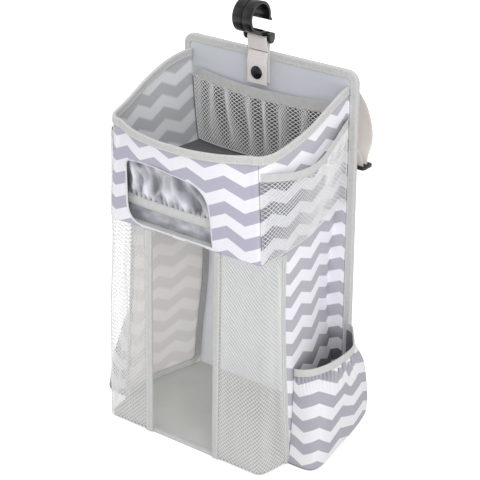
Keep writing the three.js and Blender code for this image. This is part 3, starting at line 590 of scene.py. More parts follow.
rim_front = front_at(rim_level)
flange_cols, wall_cols, upper_cols = 4, 50, 24
low_rows, high_rows = 84, 44
side_shares = ([i / flange_cols - 1 for i in range(flange_cols)] + [i / wall_cols for i in range(wall_cols)]
               + [1 + i / upper_cols for i in range(upper_cols + 1)])
side_shift = (0.0282, 0.16175)
side_print = printed("printed_cloth_side", seen(244, 243, 249), seen(180, 179, 190), shift=side_shift)
# Painted light and shade: the reverse print is painted pale and faint below the bin's lower edge, as light
# shining through the cloth, and darker above it, as the bin's shade.
reverse_print = printed("printed_cloth_reverse", seen(250, 247, 243), seen(236, 232, 230), shift=side_shift,
                        blur=0.003, bin_shade_inks=(seen(238, 239, 241), seen(194, 195, 199)))


def mouth_at(along):
    """Height of the side pocket's mouth, along from the panel to the front corner."""
    rear, dip, rise = 386.0, 25.0, 5.0
    return rear - dip * ease(along, 0.1, 0.6) + rise * ease(along, 0.7, 1.0)


def pocket_foot_at(along):
    """Height of the side pocket's foot, which is higher at the panel."""
    rear, front = 281.0, 262.6
    return lerp(rear, front, ease(along, 0.0, 0.45))


def pocket_shade_at(y, z):
    """Painted shade: 1 on the wall behind a side pocket's net, fading out at its foot and its mouth."""
    along = (panel_front - y) / (panel_front - front_at(z))
    foot, mouth = pocket_foot_at(along), mouth_at(along)
    return ease(z, foot - 1, foot + 3) * (1 - ease(z, mouth - 12, mouth - 4))


def pouch_shade_at(y, z):
    """Painted shade on the wall inside a bottle pouch, deeper than behind a net pocket."""
    return 1.5 * (1 - ease(z, 92, 132)) * ease(y, -30, -15)


def wall_place(share, r, side):
    """Place on a side wall: even rows up to the bin's lower edge, and more from there to the rim."""
    if r <= low_rows:
        z = lerp(foot_level, band_bottom, r / low_rows)
    else:
        z = lerp(band_bottom, rim_at(*side_place(share, rim_level)), (r - low_rows) / high_rows)
    x, y = side_place(share, z)
    return side * x, y, z


net_edge_col = flange_cols + wall_cols
for hand, side in HANDS:
    rows = [[wall_place(share, r, side) for share in side_shares] for r in range(low_rows + high_rows + 1)]
    wall = sheet_from(f"side_wall_{hand}", rows, turned=side > 0,
                      left_out=lambda r, c: r < low_rows and c >= net_edge_col)
    # The wall's painted shade, behind its side pocket and inside its bottle pouch.
    marked(wall, "painted_shade", [pocket_shade_at(y, z) + pouch_shade_at(y, z) for row in rows for _, y, z in row])
    thicken(dress(wall, side_print, reverse_print), cloth_thick)
    fasten(wall, "printed_cloth", f"side_panel_{hand}")

# Bin front: one printed band that runs round both corners to a seam on each side wall. It bows
# forward between the corners, and the wipes window is cut in it and edged with a thin tape.

front_bow, bow_power = 20.0, 2.4
window_left, window_right, window_sill, window_head = -79.0, 43.0, 264.3, 346.5
head_left, head_right, head_corner, sill_corner = 341.0, 336.0, 9.0, 23.0
band_slack = 1.1


def bow_at(x, z):
    half = corner_x_at(z) - corner_reach_at(z)
    rise = max(z - band_bottom, 0.0) / (rim_corner - band_bottom)
    inward = max(1 - (abs(x) / half) ** bow_power, 0.0)
    return front_bow * rise * inward


def bowed_front_at(x, z):
    return front_at(z) - bow_at(x, z)


def band_y_at(x, z):
    """The band's outer face, with a little slack away from its corners and its lower seam."""
    slack_half, slack_rise = 98.0, 25.0
    loose = max(1 - (abs(x) / slack_half) ** 4, 0.0) * min(max(z - band_bottom, 0.0) / slack_rise, 1.0)
    return bowed_front_at(x, z) - band_slack * loose * max(0.5 + 0.8 * rumple(x, z, 38, 4.0), 0.0)


def corner_place(share, z, wrap, inner_x=0.0):
    """Plan place round the right corner: 0 to 1 on the side, 1 to 2 round it, 2 to 3 along the front."""
    front, reach = front_at(z), corner_reach_at(z)
    start_y = front + reach
    if share < 1:
        y = lerp(front + wrap, start_y, share)
        return side_x_at(y, z), y
    end_x = corner_x_at(z) - reach
    if share < 2:
        x = curved(side_x_at(start_y, z), corner_x_at(z), end_x, share - 1)
        return x, front + reach * (2 - share) ** 2
    x = lerp(end_x, inner_x, share - 2)
    return x, band_y_at(x, z)


def straight(start, end, count):
    """Even places on a straight line, without its start."""
    return [tuple(lerp(a, b, i / count) for a, b in zip(start, end)) for i in range(1, count + 1)]


def rounded(start, turn, end):
    """Places on a round corner drawn towards turn, without its start."""
    return [tuple(curved(a, b, c, i / 6) for a, b, c in zip(start, turn, end)) for i in range(1, 7)]


def window_edge():
    """The window's outline in X and Z, from its lower left corner."""
    left, right, sill, head = window_left, window_right, window_sill, window_head
    points = [(left + sill_corner, sill)]
    points += straight(points[-1], (right - 2, sill), 30)
    points += rounded(points[-1], (right, sill), (right, sill + 2))
    points += straight(points[-1], (right, head_right - 2.6 * head_corner), 11)
    points += rounded(points[-1], (right, head_right - 3), (right - 2.4 * head_corner, head_right + 4))
    points += straight(points[-1], (lerp(left, right, 0.45), head), 14)
    points += rounded(points[-1], (lerp(left, right, 0.25), head), (left + head_corner, head_left + 1.5))
    points += rounded(points[-1], (left, head_left), (left, head_left - head_corner))
    points += straight(points[-1], (left, sill + sill_corner), 12)
    points += rounded(points[-1], (left, sill), (left + sill_corner, sill))
    return points[:-1]


def cut_through(piece, outline, front, back):
    """Cuts an outline in X and Z right through a piece, between two places in Y."""
    count = len(outline)
    points = [(x, y, z) for y in (front, back) for x, z in outline]
    faces = [tuple(range(count)), tuple(range(2 * count - 1, count - 1, -1))]
    faces += [(i, i + count, (i + 1) % count + count, (i + 1) % count) for i in range(count)]
    cutter = piece_from("cutter", points, faces)
    change(piece, "BOOLEAN", operation="DIFFERENCE", solver="EXACT", object=cutter)
    bpy.data.objects.remove(cutter)
    return piece


round_cols, front_cols, band_rows = 5, 50, 56
band_cols = [(i, 1) for i in range(round_cols + front_cols + 1)]
band_cols += [(i, -1) for i in range(round_cols + front_cols - 1, -1, -1)]


def band_place(col, z):
    """Plan place on the band, from its seam in the corner round to the middle of the front."""
    seam_share = 2 - math.sqrt(band_seam / corner_reach_at(z))
    share = lerp(seam_share, 2, col / round_cols) if col < round_cols else 2 + (col - round_cols) / front_cols
    return corner_place(share, z, 0.0)


def band_point(col, side, r):
    z = lerp(band_bottom, rim_at(*band_place(col, rim_level)), r / band_rows)
    x, y = band_place(col, z)
    return side * x, y, z


front_print = printed("printed_cloth_front", seen(235, 234, 241), grey_ink, shift=(0.0051, 0.3663))
front_rows = [[band_point(col, side, r) for col, side in band_cols] for r in range(band_rows + 1)]
middle_col = round_cols + front_cols
front_flats = [[(along - row[middle_col][0], up) for along, up in row] for row in unrolled(front_rows)]
window_line = window_edge()
band = sheet_from("bin_front_band", front_rows, front_flats, turned=True)
thicken(dress(band, front_print, reverse_print), cloth_thick)
cut_through(band, window_line, -130.0, -50.0)
fasten(band, "printed_cloth", "front_band")

window_stations = []
for i, (x, z) in enumerate(window_line):
    before, after = window_line[i - 1], window_line[(i + 1) % len(window_line)]
    along = Vector((after[0] - before[0], 0, after[1] - before[1])).normalized()
    away = Vector((along.z, 0, -along.x))
    away.y = band_y_at(x + away.x, z + away.z) - band_y_at(x, z)
    window_stations.append(((x, band_y_at(x, z), z), away, (0, -1, 0)))
edging_wide, edging_play, edging_stand = 0.9, 0.08, 0.35
edging_middle = (0.0, -cloth_thick / 2)
edging_profile = (
    [(edging_wide, edging_play), (edging_wide, edging_stand)]
    + bend(edging_middle, cloth_thick / 2 + edging_stand, 90, 270, 7)
    + [(edging_wide, -cloth_thick - edging_stand), (edging_wide, -cloth_thick - edging_play)]
    + bend(edging_middle, cloth_thick / 2 + edging_play, 270, 90, 5)
)
white_edging = Finish("white_edging", Roughness=0.8)
edging_along, _ = white_edging.along_cloth()
white_edging.shade(0.002, seen(212, 211, 217), seen(234, 233, 239))
white_edging.relief(white_edging.ridges(edging_along, 0.0009), 0.00008)
window_edging = dress(swept("window_edging", window_stations, edging_profile, ring=True), white_edging)
fasten(window_edging, "binding", "window_binding")

# Rim binding: one ribbed tape folded over the whole top edge of the bin, from one corner of
# the back panel round the front to the other, and stitched through near its lower edge.

rim_drop, rim_crown, rim_play, rim_seam = 8.2, 1.2, 0.5, 1.4
rim_shares = [i / 50 for i in range(50)] + [1 + i / 8 for i in range(8)] + [2 + i / 50 for i in range(51)]
rim_cols = [(share, 1) for share in rim_shares] + [(share, -1) for share in rim_shares[-2::-1]]


def rim_place(share, z):
    """Plan place on the bin's wall, from the panel's corner round the front corner."""
    return corner_place(share, z, flange_y - gap - front_at(z))


def offset_plan(path, distance):
    """A plan path moved to the right of its travel, with mitred corners."""
    moved = []
    for i, here in enumerate(path):
        before, after = path[max(i - 1, 0)], path[min(i + 1, len(path) - 1)]
        along = Vector((after[0] - before[0], after[1] - before[1])).normalized()
        moved.append((here[0] + along.y * distance, here[1] - along.x * distance))
    return moved


rim_plan = [rim_place(share, rim_level) for share, _ in rim_cols]
rim_heights = [rim_at(x, y) for x, y in rim_plan]


def rim_line(below, inwards):
    plan = [rim_place(share, z - below) for (share, _), z in zip(rim_cols, rim_heights)]
    return offset_plan([(side * x, y) for (x, y), (_, side) in zip(plan, rim_cols)], inwards)


rim_mid, rim_foot = rim_line(0.0, cloth_thick / 2), rim_line(rim_drop, cloth_thick / 2)
rim_in = rim_line(0.0, cloth_thick / 2 + 1.0)
rim_stations = []
for (x, y), (fx, fy), (ix, iy), z in zip(rim_mid, rim_foot, rim_in, rim_heights):
    lean = ((x - fx) / rim_drop, (y - fy) / rim_drop, 1.0)
    rim_stations.append(((x, y, z), (x - ix, y - iy, 0), lean))
near = cloth_thick / 2 + rim_play
far = near + tape_thick
bend_middle = (0.0, rim_crown - far)
rim_profile = [(far, -rim_drop), *bend(bend_middle, far, 0, 180, 10), (-far, -rim_drop),
               (-near, -rim_drop), *bend(bend_middle, near, 180, 0, 8), (near, -rim_drop)]
rim_tape = dress(swept("rim_tape", rim_stations, rim_profile), tape)
fasten(rim_tape, "binding", "rim_binding")
stitched("rim_stitches", [
    [(Vector(at) + Vector(out) * way * far + Vector(lean) * (rim_seam - rim_drop), Vector(out) * way)
     for at, out, lean in rim_stations] for way in (1, -1)])

# Bin floor: a dark lining cloth over its board, sewn in at the walls.

floor_back = panel_front - gap
bin_floor, board_thick = 306.0, 2.0
partition_lean = 12.0


def floor_sheet(name, z, clearance, front_edge):
    """A level cloth between the walls; front_edge gives where it ends at each place across."""
    inset = cloth_thick + clearance

    def place(across, back_to_front):
        side = lerp(-1, 1, across)
        reach = outer_half_at(front_at(z) + inset + 8.0, z) - inset
        y = lerp(floor_back, front_edge(side * reach), back_to_front)
        return side * (outer_half_at(max(y - inset, front_at(z)), z) - inset), y, z

    made = spread(60, 80, place)
    return sheet_from(name, made, [[(x, y) for x, y, _ in row] for row in made], turned=True)


dark_lining = plain_cloth("dark_lining", seen(78, 78, 80), seen(90, 90, 92), Roughness=0.75, Sheen_Weight=0.2)
bin_cloth_top = bin_floor + board_thick + gap + lining_thick
bin_floor_cloth = floor_sheet("bin_floor_cloth", bin_cloth_top, 0.6,
                              lambda x: bowed_front_at(x, bin_floor) + partition_lean + 2.0)
thicken(dress(bin_floor_cloth, dark_lining), lining_thick)
fasten(bin_floor_cloth, "dark_lining", "bin_floor_lining")

# Wipes pocket: a cloth-covered floor at the band's lower edge, a gathered satin curtain over an
# elastic, a satin lip whose top edge leans back behind the elastic, which leaves the slit, and a
# partition that closes the pocket from the bin.

grey_cloth = plain_cloth("plain_grey_cloth", seen(200, 201, 197), seen(212, 213, 209),
                         Roughness=0.75, Sheen_Weight=0.15)
wipes_floor = floor_sheet("wipes_pocket_floor", band_bottom + 0.4 + board_thick, 0.5,
                          lambda x: front_at(band_bottom) + cloth_thick + 0.6)
thicken(dress(wipes_floor, grey_cloth), board_thick)
fasten(wipes_floor, "floor_cloth", "wipes_floor")

pocket_left, pocket_right = window_left - 7.0, window_right + 7.0
behind_band = cloth_thick + gap
curtain_top, curtain_foot, curtain_lean = 349.0, 295.8, 7.0
elastic_tall = 12.8


def puckers_at(x):
    """From 0 to 1: the short puffs of satin between the tucks that its elastic draws in."""
    return 0.5 + 0.5 * math.sin(x / 1.25 + 2.4 * rumple(x, 0, 18, 11.0))


def gathers_at(x, up):
    """Forward swell of the satin: a few long creased folds that fan up from the elastic's puffs."""
    drift = x + 9.0 * rumple(x * 0.5, up * 45, 34, 8.0)
    folds = 1.8 * math.sin(drift / 4.3 + 0.6) + 1.3 * math.sin(drift / 7.7 + 3.0 * up + 2.0)
    crease = 1 - 2.4 * abs(rumple(drift * 0.8 + up * 16, up * 30 - x * 0.35, 21, 9.0))
    fine_crease = 1 - 2.2 * abs(rumple(drift * 0.9 - up * 12, up * 22 + x * 0.3, 12, 14.0))
    held = min(up / 0.15, 1.0) * (1 - up) ** 0.3
    puffs = 2.2 * (puckers_at(x) - 0.35) * math.exp(-up * 6)
    return (folds + 2.2 * crease + fine_crease) * held + puffs


def curtain_place(across, up):
    x = lerp(pocket_left, pocket_right, across)
    z = lerp(curtain_foot, curtain_top, up)
    ends = min(1.0, 12 * min(across, 1 - across))
    lean = curtain_lean * (1 - up) ** 0.45
    forward = min(max(gathers_at(x, up) * ends, -lean - 1.5), lean + 0.3)
    puff = 0.9 * puckers_at(x) * ends * math.exp(-up * 25)
    return x, bowed_front_at(x, z) + behind_band + lining_thick + lean - forward, z - puff


# Painted shade and highlight: the satin's colour runs from dark in its fold valleys to pale on their crests,
# as each point's fold mark says.
satin = Finish("grey_satin", Roughness=0.28, Sheen_Weight=0.2, Specular_IOR_Level=0.8)
painted_fold_shade = satin.node("Attribute", {"attribute_name": "fold"}, output="Fac")
satin_shade_and_highlight = satin.node("Clamp", {}, painted_fold_shade * 1.1 + satin.mottle(0.007, 3.0) * 0.4 - 0.3)
satin.vary(Base_Color=satin.mix(satin_shade_and_highlight, seen(92, 95, 102), seen(208, 211, 218)),
           Metallic=satin.mottle(0.01) * 0.2 + 0.2)
satin_along, _ = satin.along_cloth()
satin.relief(satin.ridges(satin_along, 0.0005) * 0.4 + satin.mottle(0.006) * 1.5, 0.00005)
curtain_rows, curtain_cols = 52, 260
curtain = dress(sheet_from("wipes_satin_curtain", spread(curtain_rows, curtain_cols, curtain_place)), satin)
# Painted shade and highlight on the curtain: each point's mark grows with its forward swell.
marked(curtain, "fold", [
    0.42 + gathers_at(lerp(pocket_left, pocket_right, c / curtain_cols), r / curtain_rows) / 5.5
    for r in range(curtain_rows + 1) for c in range(curtain_cols + 1)])
fasten(thicken(curtain, 0.5), "satin", "wipes_curtain", angle=80)


strip_cols, lip_rows = 120, 20


def pocket_strip(name, foot, top, rows, wave, swell, lean, finish):
    """A level strip behind the window: it waves, swells forward in the middle and leans back."""

    def place(across, up):
        x, z = lerp(pocket_left, pocket_right, across), lerp(foot, top, up)
        y = bowed_front_at(x, z) + behind_band + lining_thick + curtain_lean + lean * up
        return x, y - wave * rumple(x, z * 0.4, 14, foot) - swell * math.sin(math.pi * up) ** 0.6, z

    return dress(sheet_from(name, spread(rows, strip_cols, place)), finish)


slit_top = curtain_foot - gap - elastic_tall
elastic = Finish("elastic_tape", Roughness=0.75, Sheen_Weight=0.15)
elastic_along, elastic_up = elastic.along_cloth()
cord_rows = elastic.ridges(elastic_up, 0.0012)
elastic_shade = elastic.mottle(0.006) * 0.8 + cord_rows * 0.1
elastic.vary(Base_Color=elastic.mix(elastic_shade, seen(192, 192, 191), seen(214, 214, 212)))
elastic.relief(cord_rows * 0.6 + elastic.ridges(elastic_along, 0.0007) * 0.4, 0.00012)
wipes_elastic = pocket_strip("wipes_pocket_elastic", slit_top, curtain_foot - gap, 12, 0.25, 1.9, 0.0,
                             elastic)
fasten(thicken(wipes_elastic, 1.0), "elastic", "wipes_elastic")
lip_foot = band_bottom + 0.4 + board_thick + gap
wipes_lip = pocket_strip("wipes_satin_lip", lip_foot, slit_top + 1.5, lip_rows, 0.9, 0.8, 2.8, satin)
# Painted shade and highlight on the lip, in random patches.
marked(wipes_lip, "fold", [0.5 + 0.22 * rumple(c, r * 2.0, 16, 3.0)
                           for r in range(lip_rows + 1) for c in range(strip_cols + 1)])
fasten(thicken(wipes_lip, 0.6), "satin", "wipes_lip")

partition_foot, partition_top = bin_cloth_top + gap, 357.0
partition_foot_half, partition_top_half = 106.5, 97.5


def partition_place(across, up):
    z = lerp(partition_foot, partition_top, up)
    half = lerp(partition_foot_half, partition_top_half, up) - cloth_thick - 0.2
    x = lerp(-half, half, across)
    y = bowed_front_at(x, z) + behind_band + lining_thick + lerp(partition_lean + 3.0, 0.2, up)
    return x, y + 0.5 * abs(rumple(x, z, 30, 5.0)) * up * (1 - up) * 4, z


partition = dress(sheet_from("wipes_partition_cloth", spread(24, 110, partition_place)), lining)
fasten(thicken(partition, lining_thick), "lining", "wipes_partition")

# Net pocket inside the bin: knitted net gathered into an elastic tape that sags in the middle,
# sewn to the back panel at its ends and its foot.

net_thread = 0.92


def knitted(name, place, width, height, finish, cell=(5.0, 5.2), thread=net_thread):
    """Knitted net with diamond gaps, over place(across, up), for a flat cloth of that size."""
    cols, rows = round(2 * width / cell[0]), round(2 * height / cell[1])
    index, points, flats = {}, [], []
    for j in range(rows + 1):
        for i in range(cols + 1):
            if (i + j) % 2 == 0:
                index[i, j] = len(points)
                points.append(place(i / cols, j / rows))
                flats.append((width * i / cols, height * j / rows))
    faces = []
    for j in range(rows + 1):
        for i in range(cols + 1):
            if (i + j) % 2:
                around = [index[k] for k in ((i + 1, j), (i, j + 1), (i - 1, j), (i, j - 1)) if k in index]
                if len(around) > 2:
                    faces.append(tuple(around))
    cloth = dress(piece_from(name, points, faces, flats), finish)
    return change(cloth, "WIREFRAME", thickness=thread * MM, use_even_offset=False)


net_finish = Finish("knitted_net", Roughness=0.8, Sheen_Weight=0.2)
net_finish.shade(0.002, seen(222, 222, 222), seen(251, 251, 251), 4.0)
net_finish.relief(net_finish.mottle(0.0006), 0.0002)

inner = {"foot": 311.0, "top": 391.0, "sag": 6.0, "belly": 10.0, "tape": 12.0, "folds": 8}


def inner_half_at(z):
    """Half the width of the net pocket, which reaches from wall to wall."""
    return rear_x_at(z) - cloth_thick - 1.6


def inner_belly(side):
    return inner["belly"] * (1 - side ** 4)


def inner_top(side):
    return inner["top"] - inner["sag"] * (1 - side ** 2)


def inner_net_place(across, up):
    side = lerp(-1, 1, across)
    z = lerp(inner["foot"], inner_top(side) - gap, up)
    x = side * inner_half_at(z)
    phase = 2 * math.pi * inner["folds"] * across + 1.6 * rumple(x, z * 0.5, 45, 12.0)
    fold = 3.4 * math.sin(phase) + 1.0 * math.sin(2 * phase + 1.0)
    loose = min(math.sin(math.pi * across) * 1.6, 1.0) * math.sin(math.pi / 2 * up) ** 0.8
    y = panel_front - gap - 0.5 - inner_belly(side) * lerp(0.7, 1.0, up) - fold * loose * (1 - 0.75 * up ** 6)
    return x + 2.6 * math.cos(phase) * loose, min(y, panel_front - gap - 0.6), z


inner_net = knitted("inner_pocket_net_cloth", inner_net_place, 235.0, 80.0, net_finish, thread=1.25)
fasten(inner_net, "net", "inner_pocket_net")


def inner_tape_place(across, up):
    side = lerp(-1, 1, across)
    z = inner_top(side) + inner["tape"] * up
    y = panel_front - gap - inner_belly(side) - 0.35 * math.sin(across * 150) * (1 - up)
    return side * inner_half_at(z), y, z


inner_tape = dress(sheet_from("inner_pocket_elastic_tape", spread(8, 260, inner_tape_place)), elastic)
fasten(thicken(inner_tape, 1.0), "elastic", "inner_pocket_elastic")

# Side pockets: a net on each side of the bin, sewn to the wall's seams and drawn in at its
# mouth by an elastic tape that dips towards the middle.

net_half = net_thread / 2


def pocket_place(along, z):
    """Outer face of a side pocket, along from the panel to the front corner."""
    rise = (z - pocket_foot_at(along)) / (mouth_at(along) - pocket_foot_at(along))
    y = lerp(flange_y - gap, front_at(z) + band_seam + 0.6, along)
    off_wall, rear_root, belly = 1.5, 112.5, 10.0
    wall_x = outer_half_at(y, z, wall_slack) + off_wall
    root_x = max(wall_x, lerp(rear_root, wall_x, min(along / 0.3, 1.0)))
    swell = belly * max(math.sin(math.pi * along), 0.0) ** 0.7 * math.sin(math.pi / 2 * rise)
    return root_x + swell, y, z


pocket_tape = 9.0
for hand, side in HANDS:

    def pocket_net_place(along, up):
        z = lerp(pocket_foot_at(along), mouth_at(along) - pocket_tape - gap, up)
        x, y, z = pocket_place(along, z)
        held = math.sin(math.pi * along) * math.sin(math.pi * min(up, 0.5))
        ripple = math.sin(y / 3.9 + 3 * rumple(y, z, 45, 3.0)) * up ** 3
        loose = 1.2 * rumple(y, z, 30, 13.0 * side) + 0.8 * ripple
        return side * (x - net_half + loose * held), y, z

    def pocket_tape_place(along, up):
        x, y, z = pocket_place(along, mouth_at(along) - pocket_tape * (1 - up))
        return side * (x + 0.25 * math.sin(along * 170) * (1 - up)), y, z

    pocket_net = knitted(f"side_pocket_net_cloth_{hand}", pocket_net_place, 170.0, 94.0, net_finish,
                         cell=(6.6, 4.9), thread=0.86)
    fasten(pocket_net, "net", f"side_pocket_net_{hand}")
    tape_rows = spread(6, 160, pocket_tape_place)
    mouth_tape = dress(sheet_from(f"side_pocket_tape_{hand}", tape_rows, turned=side > 0), elastic)
    fasten(thicken(mouth_tape, 1.0), "elastic", f"side_pocket_elastic_{hand}")

# Front nets: two net panels that wrap the stacker's front corners. Their inner edges carry a
# folded tape up each side of the opening, and a flat tape covers the seam on each side wall.

net_top = band_bottom - gap
opening_half, opening_tape = 45.0, 9.0
net_inner = opening_half + tape_thick + gap
low_corner = corner_reach_at(0.0)
net_runs = ((0.0, net_wrap - low_corner), (1.0, 1.65 * low_corner), (2.0, 110.0 - low_corner - net_inner))


def net_share(along):
    """The share round the corner for an even step along the net, from its side seam."""
    reach = along * sum(run for _, run in net_runs)
    for start, run in net_runs:
        if reach <= run or start == 2.0:
            return start + min(reach / run, 1.0)
        reach -= run


def front_net_at(along, z, outwards):
    """Plan place on a front net, moved out of its face by a distance."""
    share = net_share(along)
    x, y = corner_place(share, z, net_wrap, net_inner)
    turn = math.radians(90 * min(max(share - 1, 0.0), 1.0))
    return x + outwards * math.cos(turn), y - outwards * math.sin(turn)


seam_half, seam_stand = 3.5, 1.4
for hand, side in HANDS:

    def front_net_place(along, up):
        z = lerp(foot_level, net_top, up)
        held = min(along / 0.12, 1.0) * min((1 - along) / 0.2, 1.0) * min(min(up, 1 - up) / 0.06, 1.0)
        narrow = rumple(along * 100, z * 0.14, 13, 17.0 * side)
        wide = rumple(along * 100, z * 0.5, 30, 5.0 * side)
        x, y = front_net_at(along, z, (1.6 * narrow + 1.2 * wide) * held - net_half)
        return side * x, y, z

    front_net = knitted(f"front_net_cloth_{hand}", front_net_place, 105.0, 260.5, net_finish)
    fasten(front_net, "net", f"front_net_{hand}")

    leg = 2 * tape_thick + 2 * gap + net_thread
    profile = [(opening_tape, 0.0), (0.5, 0.0), (0.1, 0.3), (0.0, 0.9),
               (0.0, leg - 0.9), (0.1, leg - 0.3), (0.5, leg), (opening_tape, leg),
               (opening_tape, leg - tape_thick), (tape_thick, leg - tape_thick),
               (tape_thick, tape_thick), (opening_tape, tape_thick)]
    levels = [lerp(foot_level, net_top, i / 90) for i in range(91)]
    fold_y = -tape_thick - gap
    edge = [((side * (opening_half + 0.2 * rumple(z, 0, 40, side)), front_at(z) + fold_y, z),
             (side, 0, 0), (0, 1, 0)) for z in levels]
    opening_edge = dress(swept(f"opening_edge_tape_{hand}", edge, profile), tape)
    fasten(opening_edge, "binding", f"opening_tape_{hand}")
    seam_x = side * (opening_half + opening_tape - 1.6)
    stitched(f"opening_stitches_{hand}", [
        [((seam_x, front_at(z) + fold_y, z), (0, -1, 0)) for z in levels],
        [((seam_x, front_at(z) + fold_y + leg, z), (0, 1, 0)) for z in levels]])

    def seam_tape_at(across, z):
        y = front_at(z) + net_wrap + lerp(seam_half, -seam_half, across)
        return side * (side_x_at(y, z) + seam_stand), y, z

    seam_rows = spread(90, 6, lambda across, up: seam_tape_at(across, lerp(foot_level, net_top - 1, up)))
    seam_tape = dress(sheet_from(f"net_seam_cover_{hand}", seam_rows, turned=side > 0), tape)
    fasten(thicken(seam_tape, tape_thick), "binding", f"net_seam_tape_{hand}")
    stitched(f"net_seam_stitches_{hand}", [
        [(seam_tape_at(across, z), (side, 0, 0)) for z in levels[:-1]] for across in (0.2, 0.8)])

# Stacker floor: a base cloth under the board and a grey lining over it, with a folded tape over
# their front edge at the opening.

floor_foot, floor_top = 0.0, 4.2
floor_front = -81.3
base_cloth = floor_sheet("stacker_base_cloth", floor_foot + lining_thick, 0.5, lambda x: floor_front)
thicken(dress(base_cloth, grey_cloth), lining_thick)
fasten(base_cloth, "floor_cloth", "floor_base_cloth")
floor_lining = floor_sheet("stacker_floor_lining", floor_top, 0.5, lambda x: floor_front)
thicken(dress(floor_lining, grey_cloth), lining_thick)
fasten(floor_lining, "floor_cloth", "floor_lining")

tape_front, tape_back, tape_low, tape_high = -82.5, -73.6, 0.4, 5.4
nose = (tape_front + 1.2, tape_high - 1.2)
nose_profile = ([(tape_front, tape_low)] + bend(nose, 1.2, 180, 90, 4)
                + [(tape_back, tape_high), (tape_back, tape_high - tape_thick)]
                + bend(nose, 0.3, 90, 180, 2) + [(tape_front + tape_thick, tape_low)])
nose_line = [((lerp(-44.7, 44.7, i / 40), 0, 0), (0, 1, 0), (0, 0, 1)) for i in range(41)]
floor_tape = dress(swept("stacker_front_tape", nose_line, nose_profile), tape)
fasten(floor_tape, "binding", "floor_front_tape")
stitched("stacker_front_stitches", [
    [((lerp(-44, 44, i / 20), tape_back - 1.6, tape_high), (0, 0, 1)) for i in range(21)]])

# Corner seam tapes: a grey tape over the raw seam inside each rear corner of the stacker,
# down the corner and forward along the floor, where it catches the light: its colour is
# painted paler there, as painted light, and darker up the corner, as painted shade.

lit_and_shaded_tape = Finish("corner_tape_lit_and_shaded", Roughness=0.85, Sheen_Weight=0.2)
corner_tape_along, _ = lit_and_shaded_tape.along_cloth()
corner_tape_rib = lit_and_shaded_tape.ridges(corner_tape_along, 0.0011)
# Painted light and shade: paler on the floor, darker from about 11 mm up the corner.
upright = lit_and_shaded_tape.node("Clamp", {}, (lit_and_shaded_tape.parts_of(lit_and_shaded_tape.place())[2] - 0.011) * 80)
corner_tape_weave = lit_and_shaded_tape.mottle(0.004, 4.0) + corner_tape_rib * 0.1
lit_on_floor = lit_and_shaded_tape.mix(corner_tape_weave, seen(206, 206, 205), seen(226, 226, 225))
shaded_on_wall = lit_and_shaded_tape.mix(corner_tape_weave, seen(160, 160, 162), seen(188, 188, 190))
lit_and_shaded_tape.vary(Base_Color=lit_and_shaded_tape.mix(upright, lit_on_floor, shaded_on_wall))
lit_and_shaded_tape.relief(corner_tape_rib, 0.00012)

corner_bend, corner_tape_top, corner_tape_wide, corner_inset = 14.0, 252.0, 8.0, 2.4
corner_rear, corner_foot, corner_end = flange_y - gap, floor_top + gap, -40.0
bend_y, bend_z = corner_rear - corner_bend, corner_foot + corner_bend
corner_line = [(corner_rear, lerp(corner_tape_top, bend_z, i / 60), 1, 0) for i in range(60)]
for i in range(13):
    turn = math.radians(90 * i / 12)
    back, down = math.cos(turn), math.sin(turn)
    corner_line.append((bend_y + corner_bend * back, bend_z - corner_bend * down, back, down))
corner_line += [(lerp(bend_y, corner_end, i / 30), corner_foot, 0, 1) for i in range(1, 31)]
for hand, side in HANDS:
    rows = []
    for r in range(4):
        width = corner_tape_wide * r / 3
        places = [(y - back * width, z + down * width) for y, z, back, down in corner_line]
        rows.append([(side * (side_x_at(y, z) - corner_inset), y, z) for y, z in places])
    step_along, step_across = 3.0, 2.7
    flats = [[(c * step_along, r * step_across) for c in range(len(corner_line))] for r in range(4)]
    seam_cover = dress(sheet_from(f"corner_seam_cover_{hand}", rows, flats, turned=side < 0), lit_and_shaded_tape)
    fasten(thicken(seam_cover, tape_thick, outwards=True), "binding", f"corner_seam_tape_{hand}")

# Bottle pouches: a full bag of the printed cloth on each side, sewn to the wall and the panel,
# with its floor turned in below and its mouth drawn in by an elastic tape.

pouch_rear_top, pouch_front_top, pouch_foot = 134.0, 113.0, 0.6
pouch_rear_x, pouch_rear_y = 120.3, binding_front - cloth_thick - gap
pouch_low_front_y, pouch_high_front_y = -41.03, -21.02
pouch_low_reach, pouch_high_reach, pouch_belly = 40.0, 34.0, 0.6
pouch_square, pouch_oval = 5.6, 2.4
pouch_tape, pouch_taper, pouch_pinch = 9.0, 37.0, 7.0


def pouch_top_at(share):
    return lerp(pouch_rear_top, pouch_front_top, share)


def pouch_forward_at(share, power):
    """The share of the way from the panel to the front seam, round the bag's outline."""
    turn = math.cos(math.pi * share)
    return (1 - math.copysign(abs(turn) ** power, turn)) / 2


def pouch_foot_at(share):
    """The bag's lower edge, which tapers up towards the outer rear."""
    taper = pouch_taper * lerp(0.5, 1, ease(share, 0, 0.2))
    return pouch_foot + taper * (1 - pouch_forward_at(share, 2 / 4.2))


